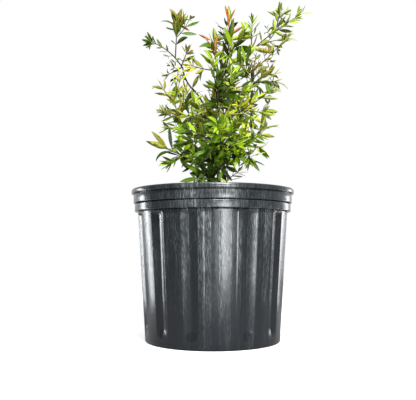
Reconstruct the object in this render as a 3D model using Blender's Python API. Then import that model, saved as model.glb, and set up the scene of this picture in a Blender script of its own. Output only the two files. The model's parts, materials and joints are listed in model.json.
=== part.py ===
"""A young pomegranate tree in a ribbed nursery pot, as separate closed solids.

Units are metres and +Z is up. The origin is the middle of the pot's flat underside, and
the front of the plant faces -Y. Tables of places are in millimetres.
"""
import math
import random

import bmesh
import bpy
from mathutils import Matrix, Vector
from mathutils.bvhtree import BVHTree

MM = 0.001
UP = Vector((0.0, 0.0, 1.0))
CLEAR = 0.3 * MM  # gap between solids that meet

# ---------------------------------------------------------------- driving dimensions: pot

POT_HEIGHT = 0.2376
LIP_RADIUS = 0.1300
LIP_HEIGHT = 0.0075
BAND_RADIUS = 0.1266
BAND_HEIGHT = 0.0148
BEAD_RADIUS = 0.1246
BEAD_HEIGHT = 0.0120
GROOVE_HEIGHT = 0.0010
WALL_TOP_RADIUS = 0.1197
BASE_RADIUS = 0.1062
BASE_CORNER = 0.0020
SHELL = 0.0022  # thickness of the moulded wall
FLOOR = 0.0030

SEAM_BEARING = 5.4  # degrees from the front towards +X, where the mould halves part
WIDE_RIB = 32.0  # degrees of wall taken by the rib on each seam
CHANNEL = 12.2  # degrees of wall taken by one channel
CHANNELS_PER_SIDE = 6
CHANNEL_DEPTH = 0.0042
CHANNEL_STEPS = 3
CHANNEL_TOP = 0.0080  # from the bead's underside down to where the channels begin
CHANNEL_RUNOUT = 0.0070  # height over which a channel fades into the wall
CHANNEL_BASE = 0.0090

DRAIN_HOLES = 4
DRAIN_RADIUS = 0.0070
DRAIN_CIRCLE = 0.0780

# heights that follow from the sizes above
LIP_UNDER = POT_HEIGHT - LIP_HEIGHT
BAND_UNDER = LIP_UNDER - BAND_HEIGHT
BEAD_TOP = BAND_UNDER - GROOVE_HEIGHT
BEAD_UNDER = BEAD_TOP - BEAD_HEIGHT
CHANNEL_START = BEAD_UNDER - CHANNEL_TOP
CHANNEL_FULL = CHANNEL_START - CHANNEL_RUNOUT
CHANNEL_FOOT = CHANNEL_BASE + CHANNEL_RUNOUT

# --------------------------------------------------------------- driving dimensions: soil

SOIL_LEVEL = 0.2150
SOIL_SLUMP = 0.0040  # how far the fill sinks where it meets the wall
SOIL_SLUMP_WIDTH = 0.0200

# -------------------------------------------------------------- driving dimensions: limbs

ROOT_FLARE = ((0.0, 2.15), (3.0, 1.60), (8.0, 1.22), (18.0, 1.0))  # mm above soil, times the radius
LIMB_SIDES = 6

# name: (radius at foot, radius at tip, limb it grows from, share along that limb, places in mm)
LIMBS = {
    "trunk": (3.2, 1.5, None, 0.0, (
        (20, 0, 252), (19, 0, 271), (15, 0, 304), (14, 1, 332), (20, 2, 354), (25, 3, 387),
        (19, 2, 405), (16, 1, 420), (21, 0, 435), (25, 0, 453))),
    "stem_left": (2.7, 1.5, None, 0.0, (
        (-6, -8, 251), (-15, -10, 273), (-23, -12, 294), (-33, -14, 313), (-41, -15, 327))),
    "bough_left": (1.9, 1.2, "trunk", 0.42, (
        (1, -8, 348), (-11, -14, 370), (-25, -18, 392), (-37, -19, 405), (-45, -20, 420), (-48, -20, 434))),
    "bough_right_high": (1.8, 1.2, "trunk", 0.72, ((34, 8, 412), (44, 12, 440), (56, 14, 465))),
    "bough_right_middle": (1.7, 1.2, "trunk", 0.62, ((38, -8, 383), (51, -15, 394), (60, -18, 406))),
    "bough_right_low": (1.9, 1.2, "trunk", 0.43, ((32, 6, 348), (45, 10, 360), (54, 12, 369))),
    "bough_low_right": (1.9, 1.2, "trunk", 0.28, ((36, -8, 306), (53, -14, 315))),
    "bough_low_left": (1.7, 1.2, "stem_left", 0.48, ((-33, -17, 286), (-47, -22, 292))),
    "bough_front": (1.9, 1.2, "trunk", 0.36, ((12, -22, 330), (10, -46, 352))),
    "bough_back": (1.9, 1.2, "trunk", 0.38, ((16, 24, 334), (18, 48, 356))),
}

# ------------------------------------------------------------ driving dimensions: foliage

INTERNODE = 0.0130  # between one pair of leaves and the next
SHOOT_RADIUS = (1.50 * MM, 1.00 * MM)
TWIG_RADIUS = (1.15 * MM, 0.90 * MM)
TWIG_LENGTH = (0.026, 0.046)
TWIG_CHANCE = 0.42
TWIG_ZONE = 0.75  # twigs grow below this share of a shoot
TWIG_LEAN = (34.0, 56.0)  # degrees between a twig and its shoot
TWIG_SAG = -0.07
TWIG_BARE = 0.25
SHOOT_STEP = 0.024
LEAF_WIDTH = 0.225  # of the leaf's length
LEAF_WIDEST = 0.45
LEAF_CUP = 0.025
LEAF_ROOT = 0.32 * MM
LEAF_FREE_FROM = 0.0035  # past this distance a leaf crosses nothing else in its mass
LEAF_LEAN_FOOT = 64.0  # degrees between a leaf and its shoot
LEAF_LEAN_TIP = 21.0
LEAF_ROLL = 50.0
LEAF_REACH = 0.050  # how far a mass reaches out from its own shoots
PAIR_TURN = 90.0
SHOOT_COARSE = 2  # the solids carry every second pair on a shoot, counted from its tip
TWIG_COARSE = 3

# name: (limb, share along it, shoots); a shoot is (share of the first shoot that it starts at,
# tip in mm, bow as a share of its length, bare share at its foot, leaf length in mm, seed)
FOLIAGE = {
    "foliage_top": ("trunk", 1.0, (
        (0.0, (28, 5, 519), 0.00, 0.10, 38, 213), (0.15, (46, -25, 483), -0.05, 0.35, 38, 211))),
    "foliage_top_left": ("trunk", 0.86, (
        (0.0, (1, -12, 469), -0.04, 0.20, 35, 235), (0.30, (-33, -30, 434), -0.03, 0.55, 28, 153))),
    "foliage_upper_right": ("bough_right_high", 1.0, (
        (0.0, (150, 20, 539), 0.03, 0.30, 20, 184), (0.55, (116, 32, 548), -0.02, 0.15, 22, 130),
        (0.10, (65, -5, 512), 0.00, 0.40, 24, 239))),
    "foliage_right_high": ("trunk", 0.94, ((0.0, (114, -30, 478), 0.10, 0.25, 28, 92),)),
    "foliage_right_inner": ("trunk", 0.80, (
        (0.0, (108, -50, 464), -0.05, 0.35, 22, 213), (0.35, (53, -60, 437), -0.05, 0.30, 32, 322))),
    "foliage_right_middle": ("bough_right_middle", 1.0, (
        (0.0, (88, -25, 422), 0.00, 0.10, 26, 279), (0.05, (72, -8, 428), 0.00, 0.30, 28, 1),
        (0.25, (95, -42, 405), 0.00, 0.20, 26, 292))),
    "foliage_right_low": ("bough_right_low", 1.0, (
        (0.0, (97, 25, 410), 0.03, 0.25, 26, 154), (0.05, (84, 34, 375), 0.00, 0.25, 32, 344))),
    "foliage_low_right": ("bough_low_right", 1.0, (
        (0.0, (80, -25, 335), -0.05, 0.15, 30, 218), (0.10, (71, -32, 304), 0.00, 0.20, 28, 31),
        (0.05, (58, -36, 282), 0.05, 0.25, 28, 184))),
    "foliage_left": ("stem_left", 1.0, (
        (0.0, (-62, -25, 380), -0.04, 0.15, 32, 408), (0.35, (-72, -34, 356), 0.00, 0.30, 26, 195),
        (0.10, (-68, -38, 332), 0.00, 0.20, 28, 328), (0.50, (-46, -8, 388), 0.00, 0.20, 32, 242),
        (0.80, (-78, -30, 396), 0.00, 0.20, 26, 410))),
    "foliage_low_left": ("bough_low_left", 1.0, (
        (0.0, (-73, -35, 301), -0.03, 0.20, 40, 308), (0.05, (-63, -44, 277), 0.04, 0.20, 30, 317))),
    "foliage_upper_left": ("bough_left", 1.0, (
        (0.0, (-100, -32, 474), 0.09, 0.50, 18, 182), (0.28, (-57, -8, 514), 0.02, 0.35, 25, 286),
        (0.05, (-41, -34, 455), 0.00, 0.30, 22, 139),
        (0.02, (-70, -24, 422), 0.00, 0.30, 20, 397))),
    "foliage_foot": ("trunk", 0.14, (
        (0.0, (-12, -34, 257), 0.05, 0.15, 30, 237), (0.55, (-25, -70, 250), 0.08, 0.20, 32, 229),
        (0.10, (40, -14, 266), 0.03, 0.30, 24, 214))),
    "foliage_core_left": ("trunk", 0.40, (
        (0.0, (-12, -42, 352), 0.03, 0.10, 32, 397), (0.50, (-28, -36, 370), 0.00, 0.10, 30, 329),
        (0.45, (-1, -50, 370), 0.00, 0.10, 34, 175))),
    "foliage_core_right": ("trunk", 0.52, (
        (0.0, (43, -40, 366), 0.02, 0.10, 30, 402), (0.40, (30, -32, 388), 0.00, 0.15, 32, 321),
        (0.60, (62, -46, 346), 0.00, 0.10, 28, 111))),
    "foliage_core_low": ("trunk", 0.24, (
        (0.0, (-12, -38, 304), 0.04, 0.10, 30, 324), (0.50, (-29, -48, 281), 0.05, 0.10, 28, 417),
        (0.30, (8, -58, 296), 0.00, 0.15, 30, 174))),
    "foliage_core_low_right": ("trunk", 0.32, (
        (0.0, (41, -48, 314), 0.04, 0.10, 30, 10), (0.50, (37, -62, 285), 0.05, 0.10, 30, 144))),
    "foliage_front_high": ("bough_front", 1.0, (
        (0.0, (0, -108, 418), -0.06, 0.10, 30, 83), (0.30, (26, -96, 386), 0.00, 0.15, 30, 13))),
    "foliage_front_low": ("trunk", 0.30, (
        (0.0, (6, -108, 322), 0.04, 0.25, 30, 162), (0.45, (-34, -92, 318), 0.00, 0.15, 30, 186))),
    "foliage_back_high": ("bough_back", 1.0, (
        (0.0, (22, 112, 440), -0.06, 0.10, 30, 215), (0.30, (58, 84, 418), 0.00, 0.15, 30, 124))),
    "foliage_back_low": ("trunk", 0.26, (
        (0.0, (0, 104, 318), 0.04, 0.15, 30, 162), (0.40, (48, 86, 330), 0.00, 0.15, 30, 348),
        (0.45, (-52, 70, 326), 0.00, 0.15, 30, 234))),
    "foliage_back_left": ("trunk", 0.48, (
        (0.0, (-54, 72, 402), 0.03, 0.20, 30, 402), (0.45, (-74, 36, 372), 0.00, 0.15, 30, 108))),
}

# ------------------------------------------------------------------------- scene helpers


def clear_scene():
    for item in list(bpy.data.objects):
        bpy.data.objects.remove(item, do_unlink=True)


def new_collection(name):
    collection = bpy.data.collections.new(name)
    bpy.context.scene.collection.children.link(collection)
    return collection


def material(name, color, roughness):
    finish = bpy.data.materials.new(name)
    finish.use_nodes = True
    shader = finish.node_tree.nodes["Principled BSDF"]
    shader.inputs["Base Color"].default_value = (*color, 1.0)
    shader.inputs["Roughness"].default_value = roughness
    shader.inputs["Metallic"].default_value = 0.0
    return finish


def mesh_object(name, mesh, collection, finish):
    item = bpy.data.objects.new(name, mesh)
    collection.objects.link(item)
    mesh.materials.clear()
    mesh.materials.append(finish)
    return item


def smooth(mesh, angle):
    mesh.shade_smooth()
    mesh.set_sharp_from_angle(angle=math.radians(angle))


def mesh_from(name, vertices, faces):
    mesh = bpy.data.meshes.new(name)
    mesh.from_pydata([tuple(v) for v in vertices], [], faces)
    mesh.update()
    return mesh


def baked(item):
    """The object's evaluated shape as a plain mesh in world space, with its seams welded."""
    graph = bpy.context.evaluated_depsgraph_get()
    graph.update()
    mesh = bpy.data.meshes.new_from_object(item.evaluated_get(graph), depsgraph=graph)
    mesh.transform(item.matrix_world)
    work = bmesh.new()
    work.from_mesh(mesh)
    bmesh.ops.remove_doubles(work, verts=work.verts, dist=1e-6)
    bmesh.ops.recalc_face_normals(work, faces=work.faces)
    work.to_mesh(mesh)
    work.free()
    return mesh


def shape_of(mesh):
    """The mesh as a list of vertices and a list of faces."""
    return [vertex.co.copy() for vertex in mesh.vertices], [tuple(face.vertices) for face in mesh.polygons]


def tree_of(mesh):
    return BVHTree.FromPolygons(*shape_of(mesh))


# ---------------------------------------------------------------------------- pot and soil


def flute_stations():
    """Bearings round the wall in degrees, each with its share of the channel's depth."""
    rib = (360.0 - 2 * WIDE_RIB - 2 * CHANNELS_PER_SIDE * CHANNEL) / (2 * CHANNELS_PER_SIDE - 2)
    half = [(0.0, 0.0), (WIDE_RIB / 4, 0.0)]
    edge = WIDE_RIB / 2
    for index in range(CHANNELS_PER_SIDE):
        for step in range(CHANNEL_STEPS + 1):
            across = 2 * step / CHANNEL_STEPS - 1
            half.append((edge + CHANNEL * step / CHANNEL_STEPS, 1 - across * across))
        edge += CHANNEL
        if index < CHANNELS_PER_SIDE - 1:
            half.append((edge + rib / 2, 0.0))
            edge += rib
    half += [(180.0 - WIDE_RIB / 4, 0.0), (180.0, 0.0)]
    return half + [(360.0 - bearing, share) for bearing, share in reversed(half[1:-1])]


def ring(radius, height, share):
    """One ring of the fluted wall, its channels pressed in by the given share of their depth."""
    points = []
    for bearing, dip in flute_stations():
        angle = math.radians(bearing + SEAM_BEARING)
        reach = radius - share * dip * CHANNEL_DEPTH
        points.append(Vector((reach * math.sin(angle), -reach * math.cos(angle), height)))
    return points


def loft(name, rings):
    """A closed mesh through unlike rings of equal count, with a flat face on the first and the last.

    Every four-cornered cell is split from its lower left to its upper right, so that the wall's
    inner skin and the soil against it bend alike.
    """
    around = len(rings[0])
    vertices = [point for one in rings for point in one]
    faces = [tuple(reversed(range(around))), tuple(range(len(vertices) - around, len(vertices)))]
    for level in range(len(rings) - 1):
        low, high = level * around, (level + 1) * around
        for k in range(around):
            n = (k + 1) % around
            if rings[level][0].z <= rings[level + 1][0].z:
                faces += [(low + k, low + n, high + n), (low + k, high + n, high + k)]
            else:
                faces += [(low + k, low + n, high + k), (low + n, high + n, high + k)]
    mesh = mesh_from(name, vertices, faces)
    work = bmesh.new()
    work.from_mesh(mesh)
    bmesh.ops.recalc_face_normals(work, faces=work.faces)
    work.to_mesh(mesh)
    work.free()
    return mesh


def wall_radius(height):
    """Outer radius of the tapered wall, before the channels are pressed in."""
    return BASE_RADIUS + (WALL_TOP_RADIUS - BASE_RADIUS) * height / BEAD_UNDER


def make_pot(collection, cutters, finish):
    mouth = BAND_RADIUS - SHELL
    outside = [
        ring(BASE_RADIUS - BASE_CORNER, 0.0, 0.0),
        ring(wall_radius(CHANNEL_BASE), CHANNEL_BASE, 0.0),
        ring(wall_radius(CHANNEL_FOOT), CHANNEL_FOOT, 1.0),
        ring(wall_radius(CHANNEL_FULL), CHANNEL_FULL, 1.0),
        ring(wall_radius(CHANNEL_START), CHANNEL_START, 0.0),
        ring(WALL_TOP_RADIUS, BEAD_UNDER, 0.0),
        ring(BEAD_RADIUS, BEAD_UNDER + 0.2 * BEAD_HEIGHT, 0.0),
        ring(BEAD_RADIUS, BEAD_TOP, 0.0),
        ring(BAND_RADIUS, BAND_UNDER, 0.0),
        ring(BAND_RADIUS, LIP_UNDER, 0.0),
        ring(LIP_RADIUS, POT_HEIGHT - 0.6 * LIP_HEIGHT, 0.0),
        ring(LIP_RADIUS - 1.6 * MM, POT_HEIGHT, 0.0),
    ]
    inside = [
        ring(mouth + 0.8 * MM, POT_HEIGHT, 0.0),
        ring(mouth, LIP_UNDER, 0.0),
        ring(WALL_TOP_RADIUS - SHELL, BEAD_UNDER, 0.0),
        ring(wall_radius(CHANNEL_START) - SHELL, CHANNEL_START, 0.0),
        ring(wall_radius(CHANNEL_FULL) - SHELL, CHANNEL_FULL, 1.0),
        ring(wall_radius(CHANNEL_FOOT) - SHELL, CHANNEL_FOOT, 1.0),
        ring(wall_radius(CHANNEL_BASE) - SHELL, CHANNEL_BASE, 0.0),
        ring(BASE_RADIUS - SHELL - BASE_CORNER, FLOOR, 0.0),
    ]
    pot = mesh_object("pot", loft("pot", outside + inside), collection, finish)
    for index in range(DRAIN_HOLES):
        angle = 2 * math.pi * (index + 0.5) / DRAIN_HOLES
        bpy.ops.mesh.primitive_cylinder_add(
            vertices=10, radius=DRAIN_RADIUS, depth=4 * FLOOR,
            location=(DRAIN_CIRCLE * math.sin(angle), -DRAIN_CIRCLE * math.cos(angle), 0.0))
        cutter = bpy.context.active_object
        cutter.name = f"drain_cutter_{index + 1}"
        for owner in list(cutter.users_collection):
            owner.objects.unlink(cutter)
        cutters.objects.link(cutter)
        cutter.hide_render = True
        cutter.display_type = "WIRE"
    drain = pot.modifiers.new("drain_holes", "BOOLEAN")
    drain.operation = "DIFFERENCE"
    drain.operand_type = "COLLECTION"
    drain.collection = cutters
    drain.solver = "EXACT"
    smooth(pot.data, 40)
    return pot


def make_soil(collection, finish):
    """The fill follows the wall's inner skin at the gap, and its top sinks a little at the wall."""
    gap = SHELL + CLEAR
    edge = WALL_TOP_RADIUS - gap
    rings = [
        ring(BASE_RADIUS - gap - 1.1 * BASE_CORNER, FLOOR + CLEAR, 0.0),
        ring(wall_radius(CHANNEL_FOOT) - gap, CHANNEL_FOOT, 1.0),
        ring(wall_radius(CHANNEL_FULL) - gap, CHANNEL_FULL, 1.0),
        ring(wall_radius(CHANNEL_START) - gap, CHANNEL_START, 0.0),
        ring(edge, SOIL_LEVEL - SOIL_SLUMP, 0.0),
        ring(edge - SOIL_SLUMP_WIDTH, SOIL_LEVEL, 0.0),
    ]
    soil = mesh_object("soil_fill", loft("soil_fill", rings), collection, finish)
    smooth(soil.data, 40)
    return soil


# ---------------------------------------------------------------------------------- limbs


def triangle_section():
    """The three-sided outline that twigs are swept with, of radius one."""
    data = bpy.data.curves.new("twig_section", "CURVE")
    data.dimensions = "2D"
    spline = data.splines.new("POLY")
    spline.points.add(2)
    for index, point in enumerate(spline.points):
        angle = 2 * math.pi * index / 3
        point.co = (math.cos(angle), math.sin(angle), 0.0, 1.0)
    spline.use_cyclic_u = True
    return bpy.data.objects.new("twig_section", data)


def swept_mesh(name, points, radii, section=None):
    """A tapering limb along the points: six-sided, or with the given section."""
    data = bpy.data.curves.new(name, "CURVE")
    data.dimensions = "3D"
    data.use_fill_caps = True
    if section is None:
        data.bevel_depth = 1.0
        data.bevel_resolution = (LIMB_SIDES - 4) // 2
    else:
        data.bevel_mode = "OBJECT"
        data.bevel_object = section
    spline = data.splines.new("POLY")
    spline.points.add(len(points) - 1)
    for point, place, radius in zip(spline.points, points, radii):
        point.co = (*place, 1.0)
        point.radius = radius
    item = bpy.data.objects.new(name, data)
    bpy.context.scene.collection.objects.link(item)
    mesh = baked(item)
    bpy.data.objects.remove(item, do_unlink=True)
    bpy.data.curves.remove(data)
    return mesh


def along_points(points, share):
    """The place and heading at a share of the length of a chain of points."""
    lengths = [(b - a).length for a, b in zip(points, points[1:])]
    left = share * sum(lengths)
    for (a, b), length in zip(zip(points, points[1:]), lengths):
        if left <= length:
            return a.lerp(b, left / length), (b - a).normalized()
        left -= length
    return points[-1].copy(), (points[-1] - points[-2]).normalized()


def clear_start(origin, toward, radius, tree, first):
    """Moves out from a limb's axis until a stem's square end stands clear of the limb."""
    heading = (toward - origin).normalized()
    side = heading.orthogonal().normalized()
    corners = [Matrix.Rotation(math.pi * k / 3, 3, heading) @ side * radius for k in range(6)]
    out = first
    while out < 0.03:
        centre = origin + heading * out
        if all(stands_clear(tree, centre + corner) for corner in corners):
            return centre
        out += 0.05 * MM
    raise ValueError("a stem found no clear start")


def stands_clear(tree, point):
    """True where the point is outside the limb and at least the gap away from it."""
    near, normal, _, distance = tree.find_nearest(point)
    return distance >= CLEAR and (point - near).dot(normal) > 0.0


class Limb:
    """A limb's axis, its radii and the tree that distances to it are measured with."""

    def __init__(self, name, points, radii):
        self.points = points
        self.radii = radii
        self.mesh = swept_mesh(name, points, radii)
        self.tree = tree_of(self.mesh)


def make_limbs(collection, bark):
    limbs = {}
    for name, (foot, tip, parent, share, places) in LIMBS.items():
        points = [Vector(place) * MM for place in places]
        if parent is None:
            base = Vector((points[0].x, points[0].y, SOIL_LEVEL + CLEAR))
            flare = [(base + UP * height * MM, factor) for height, factor in ROOT_FLARE]
            points = [place for place, _ in flare] + points
            swell = [factor for _, factor in flare] + [1.0] * len(places)
        else:
            host = limbs[parent]
            origin, _ = along_points(host.points, share)
            start = clear_start(origin, points[0], foot * MM, host.tree, foot * MM)
            points = [start] + points
            swell = [1.0] * len(points)
        last = len(points) - 1
        radii = [(foot + (tip - foot) * k / last) * swell[k] * MM for k in range(len(points))]
        limbs[name] = Limb(name, points, radii)
        item = mesh_object(name, limbs[name].mesh, collection, bark)
        smooth(item.data, 50)
    return limbs


# -------------------------------------------------------------------------------- foliage


def bowed_axis(start, tip, bow):
    """Points of a shoot from start to tip, bowed up by a share of its length, or down if negative."""
    chord = tip - start
    heading = chord.normalized()
    lift = UP - heading * UP.dot(heading)
    lift = lift.normalized() if lift.length > 0.15 else Vector((1.0, 0.0, 0.0))
    control = (start + tip) / 2 + lift * (2 * bow * chord.length)
    steps = max(2, round(chord.length / SHOOT_STEP))
    points = []
    for k in range(steps + 1):
        t = k / steps
        points.append(start * (1 - t) ** 2 + control * (2 * t * (1 - t)) + tip * t * t)
    return points


def leaf_frame(origin, along, turn, lean, roll):
    """Axes of a leaf on a shoot: out along the leaf, across it, and up from its face."""
    side = Matrix.Rotation(turn, 3, along) @ along.orthogonal().normalized()
    out = (along * math.cos(lean) + side * math.sin(lean)).normalized()
    face = (along - out * along.dot(out)).normalized()
    face = Matrix.Rotation(roll, 3, out) @ face
    return origin, out, face.cross(out).normalized(), face


def leaves_and_twigs(points, bare, leaf_length, rng, is_shoot):
    """The seeded rule: pairs of leaves up a shoot, each pair turned on the last, with twigs between.

    Returns leaves as (frame, length, whether the solids carry it) and twigs as (start, tip).
    """
    length = sum((b - a).length for a, b in zip(points, points[1:]))
    count = max(1, round(length * (1 - bare) / INTERNODE))
    coarse_step = SHOOT_COARSE if is_shoot else TWIG_COARSE
    turn = rng.uniform(0.0, math.pi)
    leaves, shoots = [], []
    for k in range(count + 1):
        share = bare + (1 - bare) * k / count
        origin, along = along_points(points, share)
        size = leaf_length * (0.62 + 0.38 * math.sin(math.pi * (0.15 + 0.75 * share)))
        lean = LEAF_LEAN_FOOT + (LEAF_LEAN_TIP - LEAF_LEAN_FOOT) * share ** 1.4
        for side in (0.0, math.pi):
            angle = turn + side + math.radians(rng.uniform(-18, 18))
            tilt = math.radians(lean + rng.uniform(-11, 11))
            roll = math.radians(rng.uniform(-LEAF_ROLL, LEAF_ROLL))
            scale = rng.uniform(0.78, 1.15)
            coarse = (count - k) % coarse_step == 0
            leaves.append((leaf_frame(origin, along, angle, tilt, roll), size * scale, coarse))
        chance, reach = rng.random(), rng.uniform(*TWIG_LENGTH)
        lean = math.radians(rng.uniform(*TWIG_LEAN))
        angle = turn + math.pi / 2 + math.pi * rng.randrange(2)
        if is_shoot and chance < TWIG_CHANCE and share < TWIG_ZONE:
            _, out, _, _ = leaf_frame(origin, along, angle, lean, 0.0)
            shoots.append((origin, origin + out * reach * (1.2 - 0.7 * share)))
        turn += math.radians(PAIR_TURN + rng.uniform(-15, 15))
    return leaves, shoots


def leaf_shape(frame, length):
    """A leaf as a closed blade of eight faces: a three-cornered root, two shoulders and a tip."""
    origin, out, across, face = frame
    shoulder = origin + out * (LEAF_WIDEST * length) + face * (LEAF_CUP * length)
    half = across * (LEAF_WIDTH * length / 2)
    vertices = [
        origin + across * LEAF_ROOT + face * LEAF_ROOT * 0.6,
        origin - across * LEAF_ROOT + face * LEAF_ROOT * 0.6,
        origin - face * LEAF_ROOT,
        shoulder + half,
        shoulder - half,
        origin + out * length,
    ]
    faces = [(0, 2, 1), (0, 1, 4, 3), (3, 4, 5), (0, 3, 2), (3, 5, 2), (5, 4, 2), (4, 1, 2)]
    return vertices, faces


def crosses(frame, length, trees):
    """True where the leaf, beyond its own foot, cuts through a limb or leaf of its own mass."""
    origin, out, across, face = frame
    outer = (origin + out * LEAF_FREE_FROM, out, across, face)
    own = BVHTree.FromPolygons(*leaf_shape(outer, length - LEAF_FREE_FROM))
    return any(own.overlap(tree) for tree in trees)


def touches(vertices, faces, trees):
    """True where a shape meets, or comes within the gap of, anything in the trees."""
    own = BVHTree.FromPolygons(vertices, faces)
    middles = [(vertices[a] + vertices[b]) / 2 for face in faces for a, b in zip(face, face[1:])]
    for tree in trees:
        if own.overlap(tree):
            return True
        if any(tree.find_nearest(point, 1.5 * CLEAR)[0] is not None for point in vertices + middles):
            return True
    return False


def plan_shoots(limbs):
    """The axes of every mass's own shoots, the first of which meets its limb."""
    plans = {}
    for name, (limb, share, shoots) in FOLIAGE.items():
        host = limbs[limb]
        origin, heading = along_points(host.points, share)
        tip = Vector(shoots[0][1]) * MM
        if share == 1.0:
            start = origin + heading * CLEAR * 1.4
        else:
            start = clear_start(origin, tip, SHOOT_RADIUS[0], host.tree, SHOOT_RADIUS[0])
        axes = [bowed_axis(start, tip, shoots[0][2])]
        for fork, place, bow, *_ in shoots[1:]:
            fork_start, _ = along_points(axes[0], fork)
            axes.append(bowed_axis(fork_start, Vector(place) * MM, bow))
        plans[name] = axes
    return plans


def tapered(points, radii):
    last = len(points) - 1
    return [radii[0] + (radii[1] - radii[0]) * k / last for k in range(last + 1)]


def within_reach(point, axes):
    return min((point - place).length for axis in axes for place in axis) < LEAF_REACH


def fuse(name, base, pieces):
    """Joins the pieces to the base with one union on their collection, and drops loose scraps."""
    group = bpy.data.collections.new(f"{name}_pieces")
    bpy.context.scene.collection.children.link(group)
    for index, mesh in enumerate(pieces):
        group.objects.link(bpy.data.objects.new(f"{name}_piece_{index}", mesh))
    union = base.modifiers.new("union", "BOOLEAN")
    union.operation = "UNION"
    union.operand_type = "COLLECTION"
    union.collection = group
    union.solver = "EXACT"
    mesh = baked(base)
    base.modifiers.remove(union)
    for item in list(group.objects):
        bpy.data.objects.remove(item, do_unlink=True)
    bpy.data.collections.remove(group)
    base.data = largest_body(mesh)
    base.data.name = name


def largest_body(mesh):
    """The mesh with only its largest connected body kept."""
    work = bmesh.new()
    work.from_mesh(mesh)
    unseen = set(work.verts)
    bodies = []
    while unseen:
        body, front = set(), [unseen.pop()]
        while front:
            vertex = front.pop()
            body.add(vertex)
            for edge in vertex.link_edges:
                other = edge.other_vert(vertex)
                if other in unseen:
                    unseen.remove(other)
                    front.append(other)
        bodies.append(body)
    bodies.sort(key=len, reverse=True)
    for body in bodies[1:]:
        bmesh.ops.delete(work, geom=list(body), context="VERTS")
    work.to_mesh(mesh)
    work.free()
    return mesh


def grow_mass(axes, shoots, own, trees, section):
    """The twigs and leaves of one mass as meshes, without any that would meet what isn't its own."""
    twig_meshes, leaf_meshes, leaves = [], [], []
    for axis, (_, _, _, bare, leaf_mm, seed) in zip(axes, shoots):
        rng = random.Random(seed)
        on_shoot, twigs = leaves_and_twigs(axis, bare, leaf_mm * MM, rng, True)
        leaves += on_shoot
        for start, tip in twigs:
            twig = bowed_axis(start, tip, TWIG_SAG)
            mesh = swept_mesh("twig", twig, tapered(twig, TWIG_RADIUS), section)
            on_twig, _ = leaves_and_twigs(twig, TWIG_BARE, leaf_mm * MM, rng, False)
            if not touches(*shape_of(mesh), trees):
                twig_meshes.append(mesh)
                own.append(tree_of(mesh))
                leaves += on_twig
    for frame, length, coarse in leaves:
        vertices, faces = leaf_shape(frame, length)
        if not coarse or not within_reach(vertices[-1], axes):
            continue
        if not crosses(frame, length, own) and not touches(vertices, faces, trees):
            leaf_meshes.append(mesh_from("leaf", vertices, faces))
            own.append(BVHTree.FromPolygons(vertices, faces))
    return twig_meshes, leaf_meshes


def make_foliage(collection, limbs, fixed, green, section):
    """Every mass as one solid; each grows in turn, clear of the limbs and of the masses before it."""
    plans = plan_shoots(limbs)
    stems = {
        name: [swept_mesh(name, axis, tapered(axis, SHOOT_RADIUS), section) for axis in axes]
        for name, axes in plans.items()}
    stem_trees = {name: [tree_of(mesh) for mesh in meshes] for name, meshes in stems.items()}
    grown = []
    for name, (_, _, shoots) in FOLIAGE.items():
        others = [tree for other, trees in stem_trees.items() if other != name for tree in trees]
        own = list(stem_trees[name])
        twigs, leaves = grow_mass(plans[name], shoots, own, fixed + others + grown, section)
        base = mesh_object(name, stems[name][0], collection, green)
        fuse(name, base, stems[name][1:] + twigs + leaves)
        base.data.materials.clear()
        base.data.materials.append(green)
        grown.append(tree_of(base.data))
        print(f"{name}: {len(twigs)} twigs, {len(leaves)} leaves, {len(base.data.polygons)} faces")


# ----------------------------------------------------------------------------------- build


def main():
    clear_scene()
    collection = new_collection("potted_pomegranate_tree")
    cutters = new_collection("cutters")
    plastic = material("pot_plastic", (0.035, 0.040, 0.043), 0.42)
    earth = material("potting_soil", (0.060, 0.035, 0.030), 0.95)
    bark = material("bark", (0.110, 0.085, 0.055), 0.85)
    green = material("foliage_green", (0.140, 0.260, 0.035), 0.50)
    pot = make_pot(collection, cutters, plastic)
    soil = make_soil(collection, earth)
    limbs = make_limbs(collection, bark)
    section = triangle_section()
    fixed = [tree_of(baked(pot)), tree_of(soil.data)] + [limb.tree for limb in limbs.values()]
    make_foliage(collection, limbs, fixed, green, section)
    bpy.data.objects.remove(section, do_unlink=True)


main()
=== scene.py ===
# %% [markdown]
# # A young pomegranate in its nursery pot
#
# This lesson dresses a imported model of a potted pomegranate: a ribbed plastic pot, the soil in
# it, two woody stems with their boughs, and a crown of narrow glossy leaves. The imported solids
# set the sizes and places, and each one is replaced here by a finer mesh in the same place.

import json
import math
import random

import bmesh
import bpy
from mathutils import Matrix, Vector

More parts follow.
